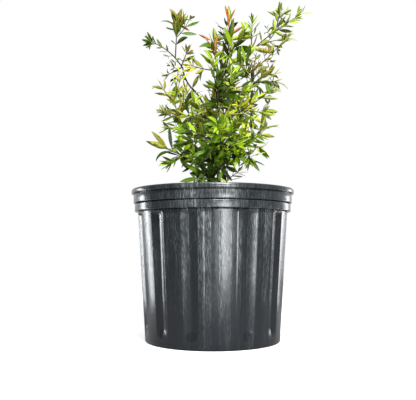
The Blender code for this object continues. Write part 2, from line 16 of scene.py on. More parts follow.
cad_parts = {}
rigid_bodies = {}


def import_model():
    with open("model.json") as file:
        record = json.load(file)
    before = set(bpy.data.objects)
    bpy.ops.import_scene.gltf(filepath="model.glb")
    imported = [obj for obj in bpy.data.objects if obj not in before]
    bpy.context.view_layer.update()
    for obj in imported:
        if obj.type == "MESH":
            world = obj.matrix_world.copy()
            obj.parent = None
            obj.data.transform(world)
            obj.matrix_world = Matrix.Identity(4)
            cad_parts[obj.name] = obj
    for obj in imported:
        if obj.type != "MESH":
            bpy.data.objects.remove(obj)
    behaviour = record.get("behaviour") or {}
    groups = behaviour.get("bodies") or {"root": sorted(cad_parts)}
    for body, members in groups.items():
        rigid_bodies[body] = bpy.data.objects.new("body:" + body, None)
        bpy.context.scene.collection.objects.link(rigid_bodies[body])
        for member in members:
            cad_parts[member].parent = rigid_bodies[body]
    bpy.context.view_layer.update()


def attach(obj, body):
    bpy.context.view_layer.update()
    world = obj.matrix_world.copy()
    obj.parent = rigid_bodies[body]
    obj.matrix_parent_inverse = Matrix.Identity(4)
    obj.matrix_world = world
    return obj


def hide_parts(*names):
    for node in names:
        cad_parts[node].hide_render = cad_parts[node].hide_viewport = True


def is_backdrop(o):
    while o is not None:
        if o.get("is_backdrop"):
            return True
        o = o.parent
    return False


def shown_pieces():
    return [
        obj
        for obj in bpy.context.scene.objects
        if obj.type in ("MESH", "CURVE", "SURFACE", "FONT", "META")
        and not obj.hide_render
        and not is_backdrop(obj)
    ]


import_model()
BODY = "root"
MM = 0.001
RADIANS = math.pi / 180.0
UP = Vector((0.0, 0.0, 1.0))

# %% [markdown]
# ## Writing node trees as sums
#
# Shaders and geometry trees are both graphs of small nodes. They could be wired one link at a
# time, but then the idea gets lost among the sockets. A wrapper round one output that knows
# the signs of arithmetic lets a tree be written as ordinary maths, and it serves both kinds of
# tree, because their Math nodes are the same.

# %% Wires and graphs


def sums(operation, swapped=False):
    """What a sign such as + does to a wire: it adds a Math node to the tree."""
    def added(wire, other):
        return wire.graph.maths(operation, *((other, wire) if swapped else (wire, other)))

    return added


class Wire:
    """One output in a node tree, which can be added, multiplied and compared like a number."""

    __add__, __radd__ = sums("ADD"), sums("ADD", swapped=True)
    __sub__, __rsub__ = sums("SUBTRACT"), sums("SUBTRACT", swapped=True)
    __mul__, __rmul__ = sums("MULTIPLY"), sums("MULTIPLY", swapped=True)
    __truediv__, __rtruediv__ = sums("DIVIDE"), sums("DIVIDE", swapped=True)
    __mod__, __pow__ = sums("FLOORED_MODULO"), sums("POWER")
    __lt__, __gt__ = sums("LESS_THAN"), sums("GREATER_THAN")

    def __init__(self, graph, socket):
        self.graph = graph
        self.socket = socket

    def __abs__(self):
        return self.maths("ABSOLUTE")

    def maths(self, operation, *others):
        return self.graph.maths(operation, self, *others)

    def eased(self, low, high):
        """From 0 below low to 1 above high, with a soft start and end."""
        settings = {"interpolation_type": "SMOOTHSTEP"}
        return self.graph.node("ShaderNodeMapRange", settings, {0: self, 1: low, 2: high})

    def clamped(self):
        return self.graph.node("ShaderNodeClamp", None, {0: self})


class Graph:
    """A node tree with one method that adds any node: its settings first, then its sockets."""

    def __init__(self, tree):
        self.tree = tree

    def node(self, kind, settings=None, sockets=None, output=0):
        made = self.tree.nodes.new(kind)
        for name, value in (settings or {}).items():
            setattr(made, name, value)
        for key, value in (sockets or {}).items():
            socket = made.inputs[key]
            if isinstance(value, Wire):
                self.tree.links.new(value.socket, socket)
            else:
                socket.default_value = (*value, 1.0) if socket.type == "RGBA" else value
        return Wire(self, made.outputs[output])

    def maths(self, operation, *values):
        """A Math node, or a Vector Math node where a value is a vector or a colour."""
        many = any(isinstance(v, Wire) and v.socket.type in ("VECTOR", "RGBA") for v in values)
        if many:
            values = [v if isinstance(v, (Wire, tuple)) else (v, v, v) for v in values]
        kind = "ShaderNodeVectorMath" if many else "ShaderNodeMath"
        return self.node(kind, {"operation": operation}, dict(enumerate(values)))

    def mix(self, share, first, second):
        """A colour between two colours."""
        return self.node("ShaderNodeMix", {"data_type": "RGBA"}, {0: share, 6: first, 7: second}, 2)

    def noise(self, place, scale, detail=2.0, roughness=0.5):
        return self.node("ShaderNodeTexNoise", None, {0: place, 2: scale, 3: detail, 4: roughness})

    def split(self, vector):
        parts = self.node("ShaderNodeSeparateXYZ", None, {0: vector})
        return [Wire(self, socket) for socket in parts.socket.node.outputs]

    def joined(self, x, y, z):
        return self.node("ShaderNodeCombineXYZ", None, {0: x, 1: y, 2: z})


class Finish(Graph):
    """A material: constants on its shader's own sockets, and wires for what changes over a surface."""

    def __init__(self, name, **constants):
        self.material = bpy.data.materials.new(name)
        self.material.use_nodes = True
        super().__init__(self.material.node_tree)
        self.shader = self.tree.nodes["Principled BSDF"]
        for label, value in constants.items():
            self.shader.inputs[label.replace("_", " ")].default_value = value
        self.place = self.node("ShaderNodeTexCoord", None, None, 3)

    def drive(self, label, wire):
        self.tree.links.new(wire.socket, self.shader.inputs[label])

    def relief(self, height, depth):
        """Bumps of the given depth in metres where height goes from 0 to 1."""
        self.drive("Normal", self.node("ShaderNodeBump", None, {"Distance": depth, "Height": height}))


print("wires add, subtract, multiply and divide in shader and geometry trees alike")

# %% [markdown]
# ## Recipes that grow meshes
#
# Things that repeat or follow a rule are grown by Geometry Nodes. A recipe is a tree with
# named inputs, so one recipe serves several pieces. Its result is kept as a plain mesh, which
# bakes and exports like any other, and the modifier is taken off again.

# %% Recipes


class Recipe(Graph):
    """A geometry tree with named inputs. A modifier's input is found by its socket's identifier."""

    def __init__(self, name, **inputs):
        tree = bpy.data.node_groups.new(name, "GeometryNodeTree")
        super().__init__(tree)
        tree.interface.new_socket("Geometry", in_out="OUTPUT", socket_type="NodeSocketGeometry")
        tree.interface.new_socket("Geometry", in_out="INPUT", socket_type="NodeSocketGeometry")
        for label, kind in inputs.items():
            tree.interface.new_socket(label, in_out="INPUT", socket_type=f"NodeSocket{kind}")
        self.entry = tree.nodes.new("NodeGroupInput")
        self.exit = tree.nodes.new("NodeGroupOutput")

    def given(self, label):
        return Wire(self, self.entry.outputs[label])

    def named(self, name, data_type):
        return self.node("GeometryNodeInputNamedAttribute", {"data_type": data_type}, {0: name})

    def painted(self, geometry, label, where=True):
        """Sets a material that is one of the recipe's inputs, on all faces or on some."""
        return self.node("GeometryNodeSetMaterial", None, {0: geometry, 1: where, 2: self.given(label)})

    def drawn(self, kind, low, high, seed):
        """Random vectors, numbers or whole numbers, which each have their own sockets on the node."""
        first, output = {"FLOAT_VECTOR": (0, 0), "FLOAT": (2, 1), "INT": (4, 2)}[kind]
        sockets = {first: low, first + 1: high, 8: seed}
        return self.node("FunctionNodeRandomValue", {"data_type": kind}, sockets, output)

    def set_on(self, points, pick, turn, size):
        """On each point, the shape of that number from the recipe's collection."""
        shapes = self.node("GeometryNodeCollectionInfo", None, {0: self.given("Shapes"), 1: True, 2: True})
        return self.node(
            "GeometryNodeInstanceOnPoints", None,
            {0: points, 2: shapes, 3: True, 4: pick, 5: turn, 6: size})

    def ends_with(self, geometry):
        """The last steps of a recipe: real geometry, in the given material."""
        real = self.node("GeometryNodeRealizeInstances", None, {0: geometry})
        self.tree.links.new(self.painted(real, "Material").socket, self.exit.inputs[0])

    def ends_moved(self, offset):
        """Ends with the geometry that came in, each point moved by an offset."""
        self.ends_with(self.node("GeometryNodeSetPosition", None, {0: self.given("Geometry"), 3: offset}))

    def on(self, item, **values):
        step = item.modifiers.new(self.tree.name, "NODES")
        step.node_group = self.tree
        for socket in self.tree.interface.items_tree:
            if socket.in_out == "INPUT" and socket.name in values:
                step[socket.identifier] = values[socket.name]


print("a recipe is a tree whose inputs are set by name")

# %% [markdown]
# A recipe starts from a mesh that holds only places and numbers, such as the points along a
# stem and how thick it is there. Some also pick from helper shapes, which lie in a collection
# until the piece is made and are then thrown away.

# %% Pieces, plain meshes and helper shapes


def new_item(name, mesh):
    item = bpy.data.objects.new(name, mesh)
    bpy.context.scene.collection.objects.link(item)
    return item


def line_mesh(name, chains, **attributes):
    """A mesh of loose lines, one for each chain of places, with numbers stored on its points."""
    mesh = bpy.data.meshes.new(name)
    places = [tuple(place) for chain in chains for place in chain]
    edges, first = [], 0
    for chain in chains:
        edges += [(first + k, first + k + 1) for k in range(len(chain) - 1)]
        first += len(chain)
    mesh.from_pydata(places, edges, [])
    for label, (kind, values) in attributes.items():
        layer = mesh.attributes.new(label, kind, "POINT")
        if kind == "FLOAT_VECTOR":
            layer.data.foreach_set("vector", [part for value in values for part in value])
        else:
            layer.data.foreach_set("value", values)
    return mesh


def mesh_from(name, work):
    """The mesh that a finished bmesh holds."""
    mesh = bpy.data.meshes.new(name)
    work.to_mesh(mesh)
    work.free()
    return mesh


def shelf(name, meshes):
    """A collection of helper shapes."""
    group = bpy.data.collections.new(name)
    bpy.context.scene.collection.children.link(group)
    for mesh in meshes:
        group.objects.link(bpy.data.objects.new(mesh.name, mesh))
    return group


def clear_shelf(group):
    for item in list(group.objects):
        bpy.data.objects.remove(item, do_unlink=True)
    bpy.data.collections.remove(group)


def make_plain(item, smooth_to):
    """Keeps the item's evaluated shape as its own mesh, with its normals out and no modifiers left.

    Edges that bend by more than smooth_to degrees stay sharp.
    """
    graph = bpy.context.evaluated_depsgraph_get()
    mesh = bpy.data.meshes.new_from_object(
        item.evaluated_get(graph), preserve_all_data_layers=True, depsgraph=graph)
    item.modifiers.clear()
    item.data = mesh
    work = bmesh.new()
    work.from_mesh(mesh)
    bmesh.ops.remove_doubles(work, verts=work.verts, dist=1e-6)
    bmesh.ops.recalc_face_normals(work, faces=work.faces)
    work.to_mesh(mesh)
    work.free()
    mesh.shade_smooth()
    mesh.set_sharp_from_angle(angle=math.radians(smooth_to))


def triangles_of(item):
    return sum(len(face.vertices) - 2 for face in item.data.polygons)


def keep(item, slot, *nodes):
    """Seats a finished piece in the frame and says how big its mesh is."""
    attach(item, BODY)
    if nodes:
        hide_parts(*nodes)
    print(f"{item.name}: {triangles_of(item)} triangles")


print("a recipe's result is kept as a plain mesh")

# %% [markdown]
# ## Camera, floor and light
#
# The camera stands two thirds of the way up the pot and looks slightly up, with the long side
# of a 36 mm sensor across the picture.

# %% Camera
CAMERA_PLACE = (-0.0074, -0.9517, 0.1468)
CAMERA_PITCH = 4.5426  # degrees above level
CAMERA_LENS = 51.21
SENSOR_WIDTH = 36.0

camera = new_item("camera", bpy.data.cameras.new("camera"))
camera.data.sensor_width = SENSOR_WIDTH
camera.data.lens = CAMERA_LENS
camera.location = CAMERA_PLACE
camera.rotation_euler = (math.radians(90.0 + CAMERA_PITCH), 0.0, 0.0)
bpy.context.scene.camera = camera
bpy.context.scene.view_settings.view_transform = "Standard"
print(f"camera at {CAMERA_PLACE}, looking {CAMERA_PITCH} degrees up")

# %% [markdown]
# The plant stands on a pale floor against a plain white surround. Black plastic shows its shape
# mostly by what it mirrors, so the surround is bright behind the pot and dim in front, and the
# floor gives back less light than it seems to. Leaves need contrast more than fill, so dull
# surfaces get only a part of the surround's light.

# %% Floor and surround
FLOOR_REACH = 1.35
FLOOR_CORNERS = 60
FLOOR_GIVEN = (0.25, 0.25, 0.25)  # what the floor throws back at the pot
FLOOR_SEEN = (0.60, 0.60, 0.60)
WHITE = (1.0, 1.0, 1.0)
SURROUND_SEEN = 1.0
SURROUND_FRONT = 0.26
SURROUND_BACK = 1.0
SHADE = 0.55  # share of the surround's light kept off dull surfaces, so that shadows stay deep
SEEN_RAY, DULL_RAY = 0, 2  # outputs of a Light Path node

turns = [2 * math.pi * k / FLOOR_CORNERS for k in range(FLOOR_CORNERS)]
floor = new_item("floor", bpy.data.meshes.new("floor"))
floor.data.from_pydata(
    [(FLOOR_REACH * math.cos(a), FLOOR_REACH * math.sin(a), 0.0) for a in turns], [],
    [tuple(range(FLOOR_CORNERS))])
pale = Finish("pale_floor", Roughness=0.9, Emission_Strength=0.60)
seen = pale.node("ShaderNodeLightPath", None, None, SEEN_RAY)
pale.drive("Base Color", pale.mix(seen, FLOOR_GIVEN, FLOOR_SEEN))
pale.drive("Emission Color", pale.mix(seen, (0.0, 0.0, 0.0), WHITE))
floor.data.materials.append(pale.material)
floor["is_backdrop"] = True

world = bpy.data.worlds.new("surround")
bpy.context.scene.world = world
world.use_nodes = True
air = Graph(world.node_tree)
heading = air.split(air.node("ShaderNodeTexCoord", None, None, 0))[1]
lighting = SURROUND_FRONT + heading.eased(-0.1, 0.8) * (SURROUND_BACK - SURROUND_FRONT)
lighting = lighting * (1.0 - SHADE * air.node("ShaderNodeLightPath", None, None, DULL_RAY))
seen = air.node("ShaderNodeLightPath", None, None, SEEN_RAY)
strength = lighting + seen * (SURROUND_SEEN - lighting)
backdrop = world.node_tree.nodes["Background"]
backdrop.inputs["Color"].default_value = (*WHITE, 1.0)
world.node_tree.links.new(strength.socket, backdrop.inputs["Strength"])
print("floor", FLOOR_REACH * 2, "m wide; surround", SURROUND_FRONT, "in front,", SURROUND_BACK, "behind")

# %% [markdown]
# Two narrow softboxes, one on each side of the pot, draw the bright edges of its outer ribs, and
# a broader one in front lights the ribs right of the middle. All three stand low, to stay off
# the leaves. The crown has its own light, a strong one high up in front and a weak one overhead.

# %% Softboxes
# name: (bearing in degrees from the front towards +X, distance, height, height it is aimed at,
# width, height of its face, radiance, tint)
SOFTBOXES = {
    "strip_left": (-103.0, 0.42, 0.135, -0.05, 0.044, 0.30, 18.5, (0.95, 0.99, 1.03)),
    "strip_right": (118.5, 0.44, 0.135, -0.05, 0.070, 0.30, 7.0, (0.97, 0.99, 1.02)),
    "front_right": (15.0, 0.60, 0.135, -0.05, 0.14, 0.30, 17.0, (0.97, 1.0, 1.02)),
    "key": (15.0, 1.6, 1.7, 0.40, 0.40, 0.40, 180.0, WHITE),
    "overhead": (0.0, 0.3, 1.9, 0.30, 0.6, 0.6, 8.0, WHITE),
}

for name, (bearing, distance, height, aim, width, tall, radiance, tint) in SOFTBOXES.items():
    light = bpy.data.lights.new(name, "AREA")
    light.shape = "RECTANGLE"
    light.size = width
    light.size_y = tall
    light.energy = radiance * math.pi * width * tall
    light.color = tint
    angle = math.radians(bearing)
    box = new_item(name, light)
    box.location = (distance * math.sin(angle), -distance * math.cos(angle), height)
    box.rotation_euler = (Vector((0.0, 0.0, aim)) - box.location).to_track_quat("-Z", "Y").to_euler()
    box.visible_camera = False
print(f"{len(SOFTBOXES)} softboxes, unseen by the camera")

# %% [markdown]
# ## The pot
#
# A nursery pot is blow-moulded from black plastic: twelve concave channels are pressed into a
# tapering wall, with flat ribs between them and a wide rib on each mould seam, under a rounded
# bead, a band and a rolled lip. Channels and ribs are counted in degrees of the wall, so that
# they widen with it.

# %% Sizes of the pot
POT_HEIGHT = 0.2376
LIP_RADIUS = 0.1300
LIP_HEIGHT = 0.0075
BAND_RADIUS = 0.1266
BAND_HEIGHT = 0.0148
BEAD_RADIUS = 0.1246
BEAD_HEIGHT = 0.0120
GROOVE_HEIGHT = 0.0010
WALL_TOP_RADIUS = 0.1197
BASE_RADIUS = 0.1062
BASE_CORNER = 0.0020
SHELL = 0.0022
FLOOR = 0.0030
LIP_UNDER = POT_HEIGHT - LIP_HEIGHT
BAND_UNDER = LIP_UNDER - BAND_HEIGHT
BEAD_TOP = BAND_UNDER - GROOVE_HEIGHT
BEAD_UNDER = BEAD_TOP - BEAD_HEIGHT

SEAM_BEARING = 5.4  # degrees from the front towards +X
WIDE_RIB = 32.0
CHANNEL = 12.2
CHANNELS_PER_SIDE = 6
RIB = (360.0 - 2 * WIDE_RIB - 2 * CHANNELS_PER_SIDE * CHANNEL) / (2 * CHANNELS_PER_SIDE - 2)
CHANNEL_DEPTH = 0.0042
CHANNEL_SHAPE = 1.5  # 1 is a vee and 2 a bowl
CHANNEL_START = BEAD_UNDER - 0.0016
CHANNEL_RUNOUT = 0.0060
FOOT_RUNOUT = 0.0210
CHANNEL_BASE = 0.0090
SLANT = 3.5  # degrees of a wide rib's edge that slope back
SLANT_DEPTH = 0.0009
SEAM_WIDTH = 0.42
SEAM_HEIGHT = 0.0003
EDGE_WIDTH = 0.9
EDGE_RISE = 1.5  # of the seam's height
FLATNESS = 0.2  # 1 is a flat rib, 0 one that is as round as the pot
WAVER = 0.0006


def wall_radius(height):
    return BASE_RADIUS + (WALL_TOP_RADIUS - BASE_RADIUS) * height / BEAD_UNDER


def ease(value):
    value = min(1.0, max(0.0, value))
    return value * value * (3.0 - 2.0 * value)


def press(height):
    """How much of their depth the channels have at a height: they run out at both ends."""
    foot = ease((height - CHANNEL_BASE) / FOOT_RUNOUT)
    return foot * ease((CHANNEL_START - height) / CHANNEL_RUNOUT)


print(f"pot {2 * LIP_RADIUS:.3f} m wide, {POT_HEIGHT} m high, ribs of {RIB:.2f} degrees")

# %% [markdown]
# The pot could be cut with booleans, but its shape is one rule: a profile that is turned, and
# pressed in by an amount that depends on the bearing. Each point of the profile stores its
# radius, how far the channels press it, and its height.

# %% Profile of the pot
ROLL = 0.0013  # radius of the band's and the bead's rounded edges


def unpressed(*points):
    return [(radius, 0.0, height) for radius, height in points]


def corner(radius, height, width, rise, first, last, steps=5):
    """Part of an ellipse round a centre, between two angles in degrees, with no press."""
    turn = [math.radians(first + (last - first) * k / (steps - 1)) for k in range(steps)]
    return unpressed(*((radius + width * math.cos(a), height + rise * math.sin(a)) for a in turn))


def steps_between(low, high, count):
    return [low + (high - low) * k / count for k in range(count + 1)]


def wall_rows():
    """Heights up the wall, close together where the channels run out."""
    rows = steps_between(CHANNEL_BASE, CHANNEL_BASE + FOOT_RUNOUT, 8)
    rows += steps_between(rows[-1] + 0.012, CHANNEL_START - CHANNEL_RUNOUT - 0.012, 10)
    return rows + steps_between(CHANNEL_START - CHANNEL_RUNOUT, CHANNEL_START, 8)


def pot_profile():
    """From the middle of the underside, up the outside, over the lip and down to the inner floor."""
    mouth = BAND_RADIUS - SHELL
    disc = (0.0, 0.03, 0.07, 0.09)
    profile = unpressed(*((radius, 0.0) for radius in disc))
    profile += corner(BASE_RADIUS - BASE_CORNER, BASE_CORNER, BASE_CORNER, BASE_CORNER, -90, 0)
    profile += [(wall_radius(z), press(z), z) for z in wall_rows()]
    profile += unpressed(
        (WALL_TOP_RADIUS - 0.0002, BEAD_UNDER - 0.0010), (WALL_TOP_RADIUS - 0.0012, BEAD_UNDER))
    profile += corner(BEAD_RADIUS - ROLL, BEAD_UNDER + ROLL, ROLL, ROLL, -90, 0)
    profile += corner(BEAD_RADIUS - ROLL, BEAD_TOP - ROLL, ROLL, ROLL, 0, 90)
    profile += unpressed((BEAD_RADIUS - 0.0024, BEAD_TOP + 0.4 * GROOVE_HEIGHT))
    profile += corner(BAND_RADIUS - ROLL, BAND_UNDER + ROLL, ROLL, ROLL, -90, 0)
    profile += unpressed((BAND_RADIUS, LIP_UNDER - 0.0012), (BAND_RADIUS - 0.0006, LIP_UNDER))
    profile += corner(LIP_RADIUS - 0.0016, LIP_UNDER + 0.0022, 0.0016, 0.0022, -80, 0)
    profile += corner(LIP_RADIUS - 0.0022, POT_HEIGHT - 0.0034, 0.0022, 0.0034, 0, 90, 6)
    profile += corner(mouth + 0.0014, POT_HEIGHT - 0.0014, 0.0014, 0.0014, 90, 180)
    profile += unpressed((mouth, LIP_UNDER), (WALL_TOP_RADIUS - SHELL, BEAD_UNDER))
    inner = steps_between(CHANNEL_START, CHANNEL_START - CHANNEL_RUNOUT, 4)
    inner += steps_between(CHANNEL_BASE + FOOT_RUNOUT, CHANNEL_BASE, 4)
    profile += [(wall_radius(z) - SHELL, press(z), z) for z in inner]
    profile += unpressed((BASE_RADIUS - SHELL - BASE_CORNER, FLOOR))
    return profile + unpressed(*((radius, FLOOR) for radius in reversed(disc)))


print(f"{len(pot_profile())} points from the underside over the lip to the inner floor")

# %% [markdown]
# The recipe below takes the profile as its geometry. A grid with one column for each bearing
# and one row for each point of the profile is bent round: a row's number picks its radius,
# press and height, and a column's bearing says how deep a channel is there. The same recipe
# turns the soil later, so that the soil follows the pot's inner skin.

# %% Recipe for a fluted turning


def fluted_turning():
    recipe = Recipe(
        "fluted_turning", Stations="Int", Rows="Int", Depth="Float", Channel="Float", Rib="Float",
        Wide_rib="Float", Seam="Float", Slant="Float", Slant_depth="Float", Seam_height="Float",
        Flatness="Float", Waver="Float", Material="Material")
    given = recipe.given
    grid = recipe.node(
        "GeometryNodeMeshGrid", None, {0: 1.0, 1: 1.0, 2: given("Stations"), 3: given("Rows")})
    place = recipe.node("GeometryNodeInputPosition")
    across, along, _ = recipe.split(place)
    row = ((along + 0.5) * (given("Rows") - 1)).maths("ROUND")
    picked = recipe.node(
        "GeometryNodeSampleIndex", {"data_type": "FLOAT_VECTOR"},
        {0: given("Geometry"), 1: place, 2: row})
    radius, pressed, height = recipe.split(picked)

    # the channels, which repeat between the two wide ribs
    half_wide, half_rib = given("Wide_rib") / 2, given("Rib") / 2
    bearing = (across + 0.5) * 360.0
    folded = 180.0 - abs(180.0 - bearing)
    past_rib = folded - half_wide
    inside = past_rib % (given("Channel") + given("Rib"))
    from_middle = abs(2 * (inside / given("Channel")) - 1)
    dip = (1 - from_middle ** CHANNEL_SHAPE).clamped()
    on_flutes = (past_rib > 0.0) * (past_rib < 180.0 - given("Wide_rib"))

    # a wide rib has two panels, a fine ridge on the seam between them, and edges that slope back
    from_seam = 90.0 - abs(90.0 - folded)
    half_panel = (half_wide - given("Slant")) / 2
    on_wide = from_seam < half_wide + 0.01
    past_edge = from_seam - 2 * half_panel
    slant = (past_edge / given("Slant")).clamped() * on_wide
    ridge = (from_seam < SEAM_WIDTH) * given("Seam_height")
    edge = (1 - abs(past_edge) / EDGE_WIDTH).clamped()
    ridge = ridge + edge * given("Seam_height") * EDGE_RISE

    # ribs are flatter than the pot is round, and no moulding is quite even
    on_rib = inside - given("Channel") - half_rib
    aside = on_rib + on_wide * (from_seam - half_panel - on_rib)
    half = half_rib + on_wide * (half_panel - half_rib)
    aside = abs(aside).maths("MINIMUM", half) * RADIANS
    chord = (half * RADIANS).maths("COSINE") / aside.maths("COSINE")
    flat = 1 - pressed * (1 - chord) * given("Flatness")
    wavy = recipe.joined(bearing / 23.0, height * 14.0, radius)
    waver = (recipe.noise(wavy, 1.0) - 0.5) * given("Waver")

    reach = radius - pressed * (dip * on_flutes * given("Depth") + slant * given("Slant_depth"))
    reach = (reach + pressed * (ridge + waver)) * flat
    angle = (bearing + given("Seam")) * RADIANS
    bent = recipe.joined(reach * angle.maths("SINE"), -1.0 * reach * angle.maths("COSINE"), height)
    shaped = recipe.node("GeometryNodeSetPosition", None, {0: grid, 2: bent})
    recipe.ends_with(recipe.node("GeometryNodeMergeByDistance", None, {0: shaped, 2: 1e-5}))
    return recipe


TURNING = fluted_turning()
FLUTES = {
    "Depth": CHANNEL_DEPTH, "Channel": CHANNEL, "Rib": RIB, "Wide_rib": WIDE_RIB,
    "Seam": SEAM_BEARING, "Slant": SLANT, "Slant_depth": SLANT_DEPTH}
print(f"{len(TURNING.tree.nodes)} nodes bend a grid into a fluted pot")

# %% [markdown]
# ## Worn black plastic, with painted highlights
#
# The plastic is black with a cool cast, glossy where it is clean, and drawn with fine upright
# lines by the mould. Handling leaves pale chalky streaks that run up and down, on the band and
# on the faces and edges that rubbed against other pots. The same pale chalk also paints
# highlights: the bright middle of the band, and bright panels and edge lines on the ribs where
# the softboxes are mirrored, are partly painted into the colour. A painted mask would fix them
# to one mesh. Here a table gives the bearing, width and strength of each rub and painted
# highlight, noise breaks it into grains and streaks, and how far the wall stands proud says
# where it could be reached. Towards the foot the chalk fades, as painted shade.

# %% Finish of the pot
# the faces and edges that were rubbed, and the panels and edge lines of the ribs that get a painted
# highlight in the same chalk: bearing in degrees from the front, half width and strength
RUBS_AND_HIGHLIGHTS = (
    (-20.5, 3.2, 0.60), (-6.2, 5.0, 0.95), (8.6, 5.0, 1.00), (19.4, 1.5, 0.70), (29.2, 4.0, 1.15),
    (42.5, 3.4, 0.60), (-42.0, 0.8, 0.60), (-7.0, 0.9, 1.30), (5.2, 0.8, 0.60), (51.2, 2.0, 1.30),
    (97.0, 6.0, 0.60), (138.0, 7.0, 0.90), (-171.0, 8.0, 0.70), (-127.0, 7.0, 0.90), (-92.0, 4.0, 0.50))
# half width of the chalk and painted highlight across the front of the band
BAND_CHALK_AND_HIGHLIGHT = 32.0  # half width
INK, SLATE = (0.004, 0.005, 0.007), (0.009, 0.012, 0.015)
MOULD_LINE = (0.026, 0.031, 0.035)
# pale chalk, which on the ribs and the band also serves as painted highlight
CHALK_AND_HIGHLIGHT = (0.215, 0.232, 0.232)


# black plastic with chalky wear, and with painted highlights in the same chalk
def plastic_with_wear_and_highlights():
    finish = Finish("pot_plastic", Specular_IOR_Level=0.5)
    x, y, z = finish.split(finish.place)
    reach = (x * x + y * y).maths("SQRT")
    around = finish.joined(x / reach, y / reach, 0.0) * 0.115

    def drawn_out(pull, *noise):
        """Noise that is stretched up the wall the more, the smaller its pull."""
        return finish.noise(around + finish.joined(0.0, 0.0, z * pull), *noise)

    fine = drawn_out(0.035, 1900.0, 3.0, 0.65)
    streaks = drawn_out(0.022, 900.0, 4.0, 0.7)
    clouds = drawn_out(0.30, 42.0, 3.0, 0.6)
    grains = finish.noise(finish.place * (1.0, 1.0, 0.14), 760.0, 3.0, 0.7)

    bearing = x.maths("ARCTAN2", -1.0 * y) * (180.0 / math.pi)
    # each entry adds chalk; where the softboxes light a rib's panel or edge, it is a painted highlight
    rubbed_and_highlit = 0.0
    for place, half, strength in RUBS_AND_HIGHLIGHTS:
        inside = 1.0 - abs((bearing - place) / half)
        rubbed_and_highlit = rubbed_and_highlit + inside.eased(0.0, 0.12) * strength
    # the band's chalk is strongest across its front, partly as a painted highlight
    band = (1.0 - abs(bearing) / BAND_CHALK_AND_HIGHLIGHT).eased(0.0, 0.7) * 0.75
    rubbed_and_highlit = rubbed_and_highlit + z.eased(BEAD_UNDER, BEAD_UNDER + 0.002) * (band - rubbed_and_highlit)

    wall = BASE_RADIUS + z * ((WALL_TOP_RADIUS - BASE_RADIUS) / BEAD_UNDER)
    proud = ((reach - wall) / CHANNEL_DEPTH + 1.0).clamped()
    wear_and_highlight = 0.06 + clouds.eased(0.40, 0.70) * (0.14 + 0.5 * rubbed_and_highlit) + rubbed_and_highlit * 0.3
    chalk_and_highlight = (0.35 + 0.65 * streaks.eased(0.42, 0.62)) * (0.30 + 1.20 * grains.eased(0.45, 0.60)) * wear_and_highlight
    # the chalk fades towards the foot of the wall: painted shade
    chalk_and_highlight = (chalk_and_highlight * (0.4 + 0.6 * proud) * (0.12 + 0.88 * z.eased(0.02, 0.18))).clamped()
    black = finish.mix(fine.eased(0.5, 0.8) * 0.3, finish.mix(clouds, INK, SLATE), MOULD_LINE)
    finish.drive("Base Color", finish.mix(chalk_and_highlight, black, CHALK_AND_HIGHLIGHT))
    finish.drive("Roughness", 0.15 + 0.04 * fine + 0.05 * clouds + 0.22 * chalk_and_highlight)
    finish.relief(fine * 0.4 + streaks * 0.3 + grains * wear_and_highlight, 0.00013)
    return finish.material


PLASTIC = plastic_with_wear_and_highlights()
print(f"cloudy black plastic, with chalk on the band and on {len(RUBS_AND_HIGHLIGHTS)} rubbed faces and edges")

# %% [markdown]
# The profile goes through the recipe at three columns to each degree, which keeps the ribs'
# edges crisp, and four drain holes are cut through the floor, as such pots have near the corner.

# %% Make the pot
POT_STATIONS = 1080
SOFT_EDGE = 38.0  # degrees; sharper edges stay sharp
DRAIN_HOLES = 4
DRAIN_RADIUS = 0.0070
DRAIN_CIRCLE = 0.0780
DRAIN_SIDES = 28


def drill(item, places, radius, depth):
    """Cuts round holes down through the item."""
    cutters = []
    for place in places:
        work = bmesh.new()
        bmesh.ops.create_cone(
            work, cap_ends=True, segments=DRAIN_SIDES, radius1=radius, radius2=radius, depth=depth,
            matrix=Matrix.Translation(place))
        cutters.append(mesh_from("drill", work))
    drills = shelf("drills", cutters)
    cut = item.modifiers.new("drain_holes", "BOOLEAN")
    cut.operation = "DIFFERENCE"
    cut.solver = "MANIFOLD"
    cut.operand_type = "COLLECTION"
    cut.collection = drills
    make_plain(item, SOFT_EDGE)
    clear_shelf(drills)


profile = pot_profile()
pot = new_item("fluted_pot", line_mesh("profile", [profile]))
TURNING.on(
    pot, Stations=POT_STATIONS + 1, Rows=len(profile), Seam_height=SEAM_HEIGHT, Flatness=FLATNESS,
    Waver=WAVER, Material=PLASTIC, **FLUTES)
make_plain(pot, SOFT_EDGE)
turns = [2 * math.pi * (k + 0.5) / DRAIN_HOLES for k in range(DRAIN_HOLES)]
holes = [(DRAIN_CIRCLE * math.sin(a), -DRAIN_CIRCLE * math.cos(a), FLOOR / 2) for a in turns]
drill(pot, holes, DRAIN_RADIUS, 4 * FLOOR)
keep(pot, "pot_plastic", "pot")

# %% [markdown]
# ## Soil
#
# Potting mix is shredded bark and peat, dark and purplish brown when moist, with white grains of
# perlite. A bump map would look flat at the rim, so the layers are real: a turned fill that
# fits the pot and is roughened on top, and crumbs, chips and perlite strewn over it by a recipe.

# %% Finishes of the soil


def earthy(name, dark, light, scale):
    finish = Finish(name, Specular_IOR_Level=0.25)
    patches = finish.noise(finish.place, scale, 5.0, 0.7)
    specks = finish.noise(finish.place, scale * 6.0, 3.0, 0.7)
    finish.drive("Base Color", finish.mix(patches.eased(0.3, 0.7), dark, light))
    finish.drive("Roughness", 0.82 + 0.15 * specks)
    finish.relief(patches * 0.6 + specks * 0.4, 0.0008)
    return finish.material


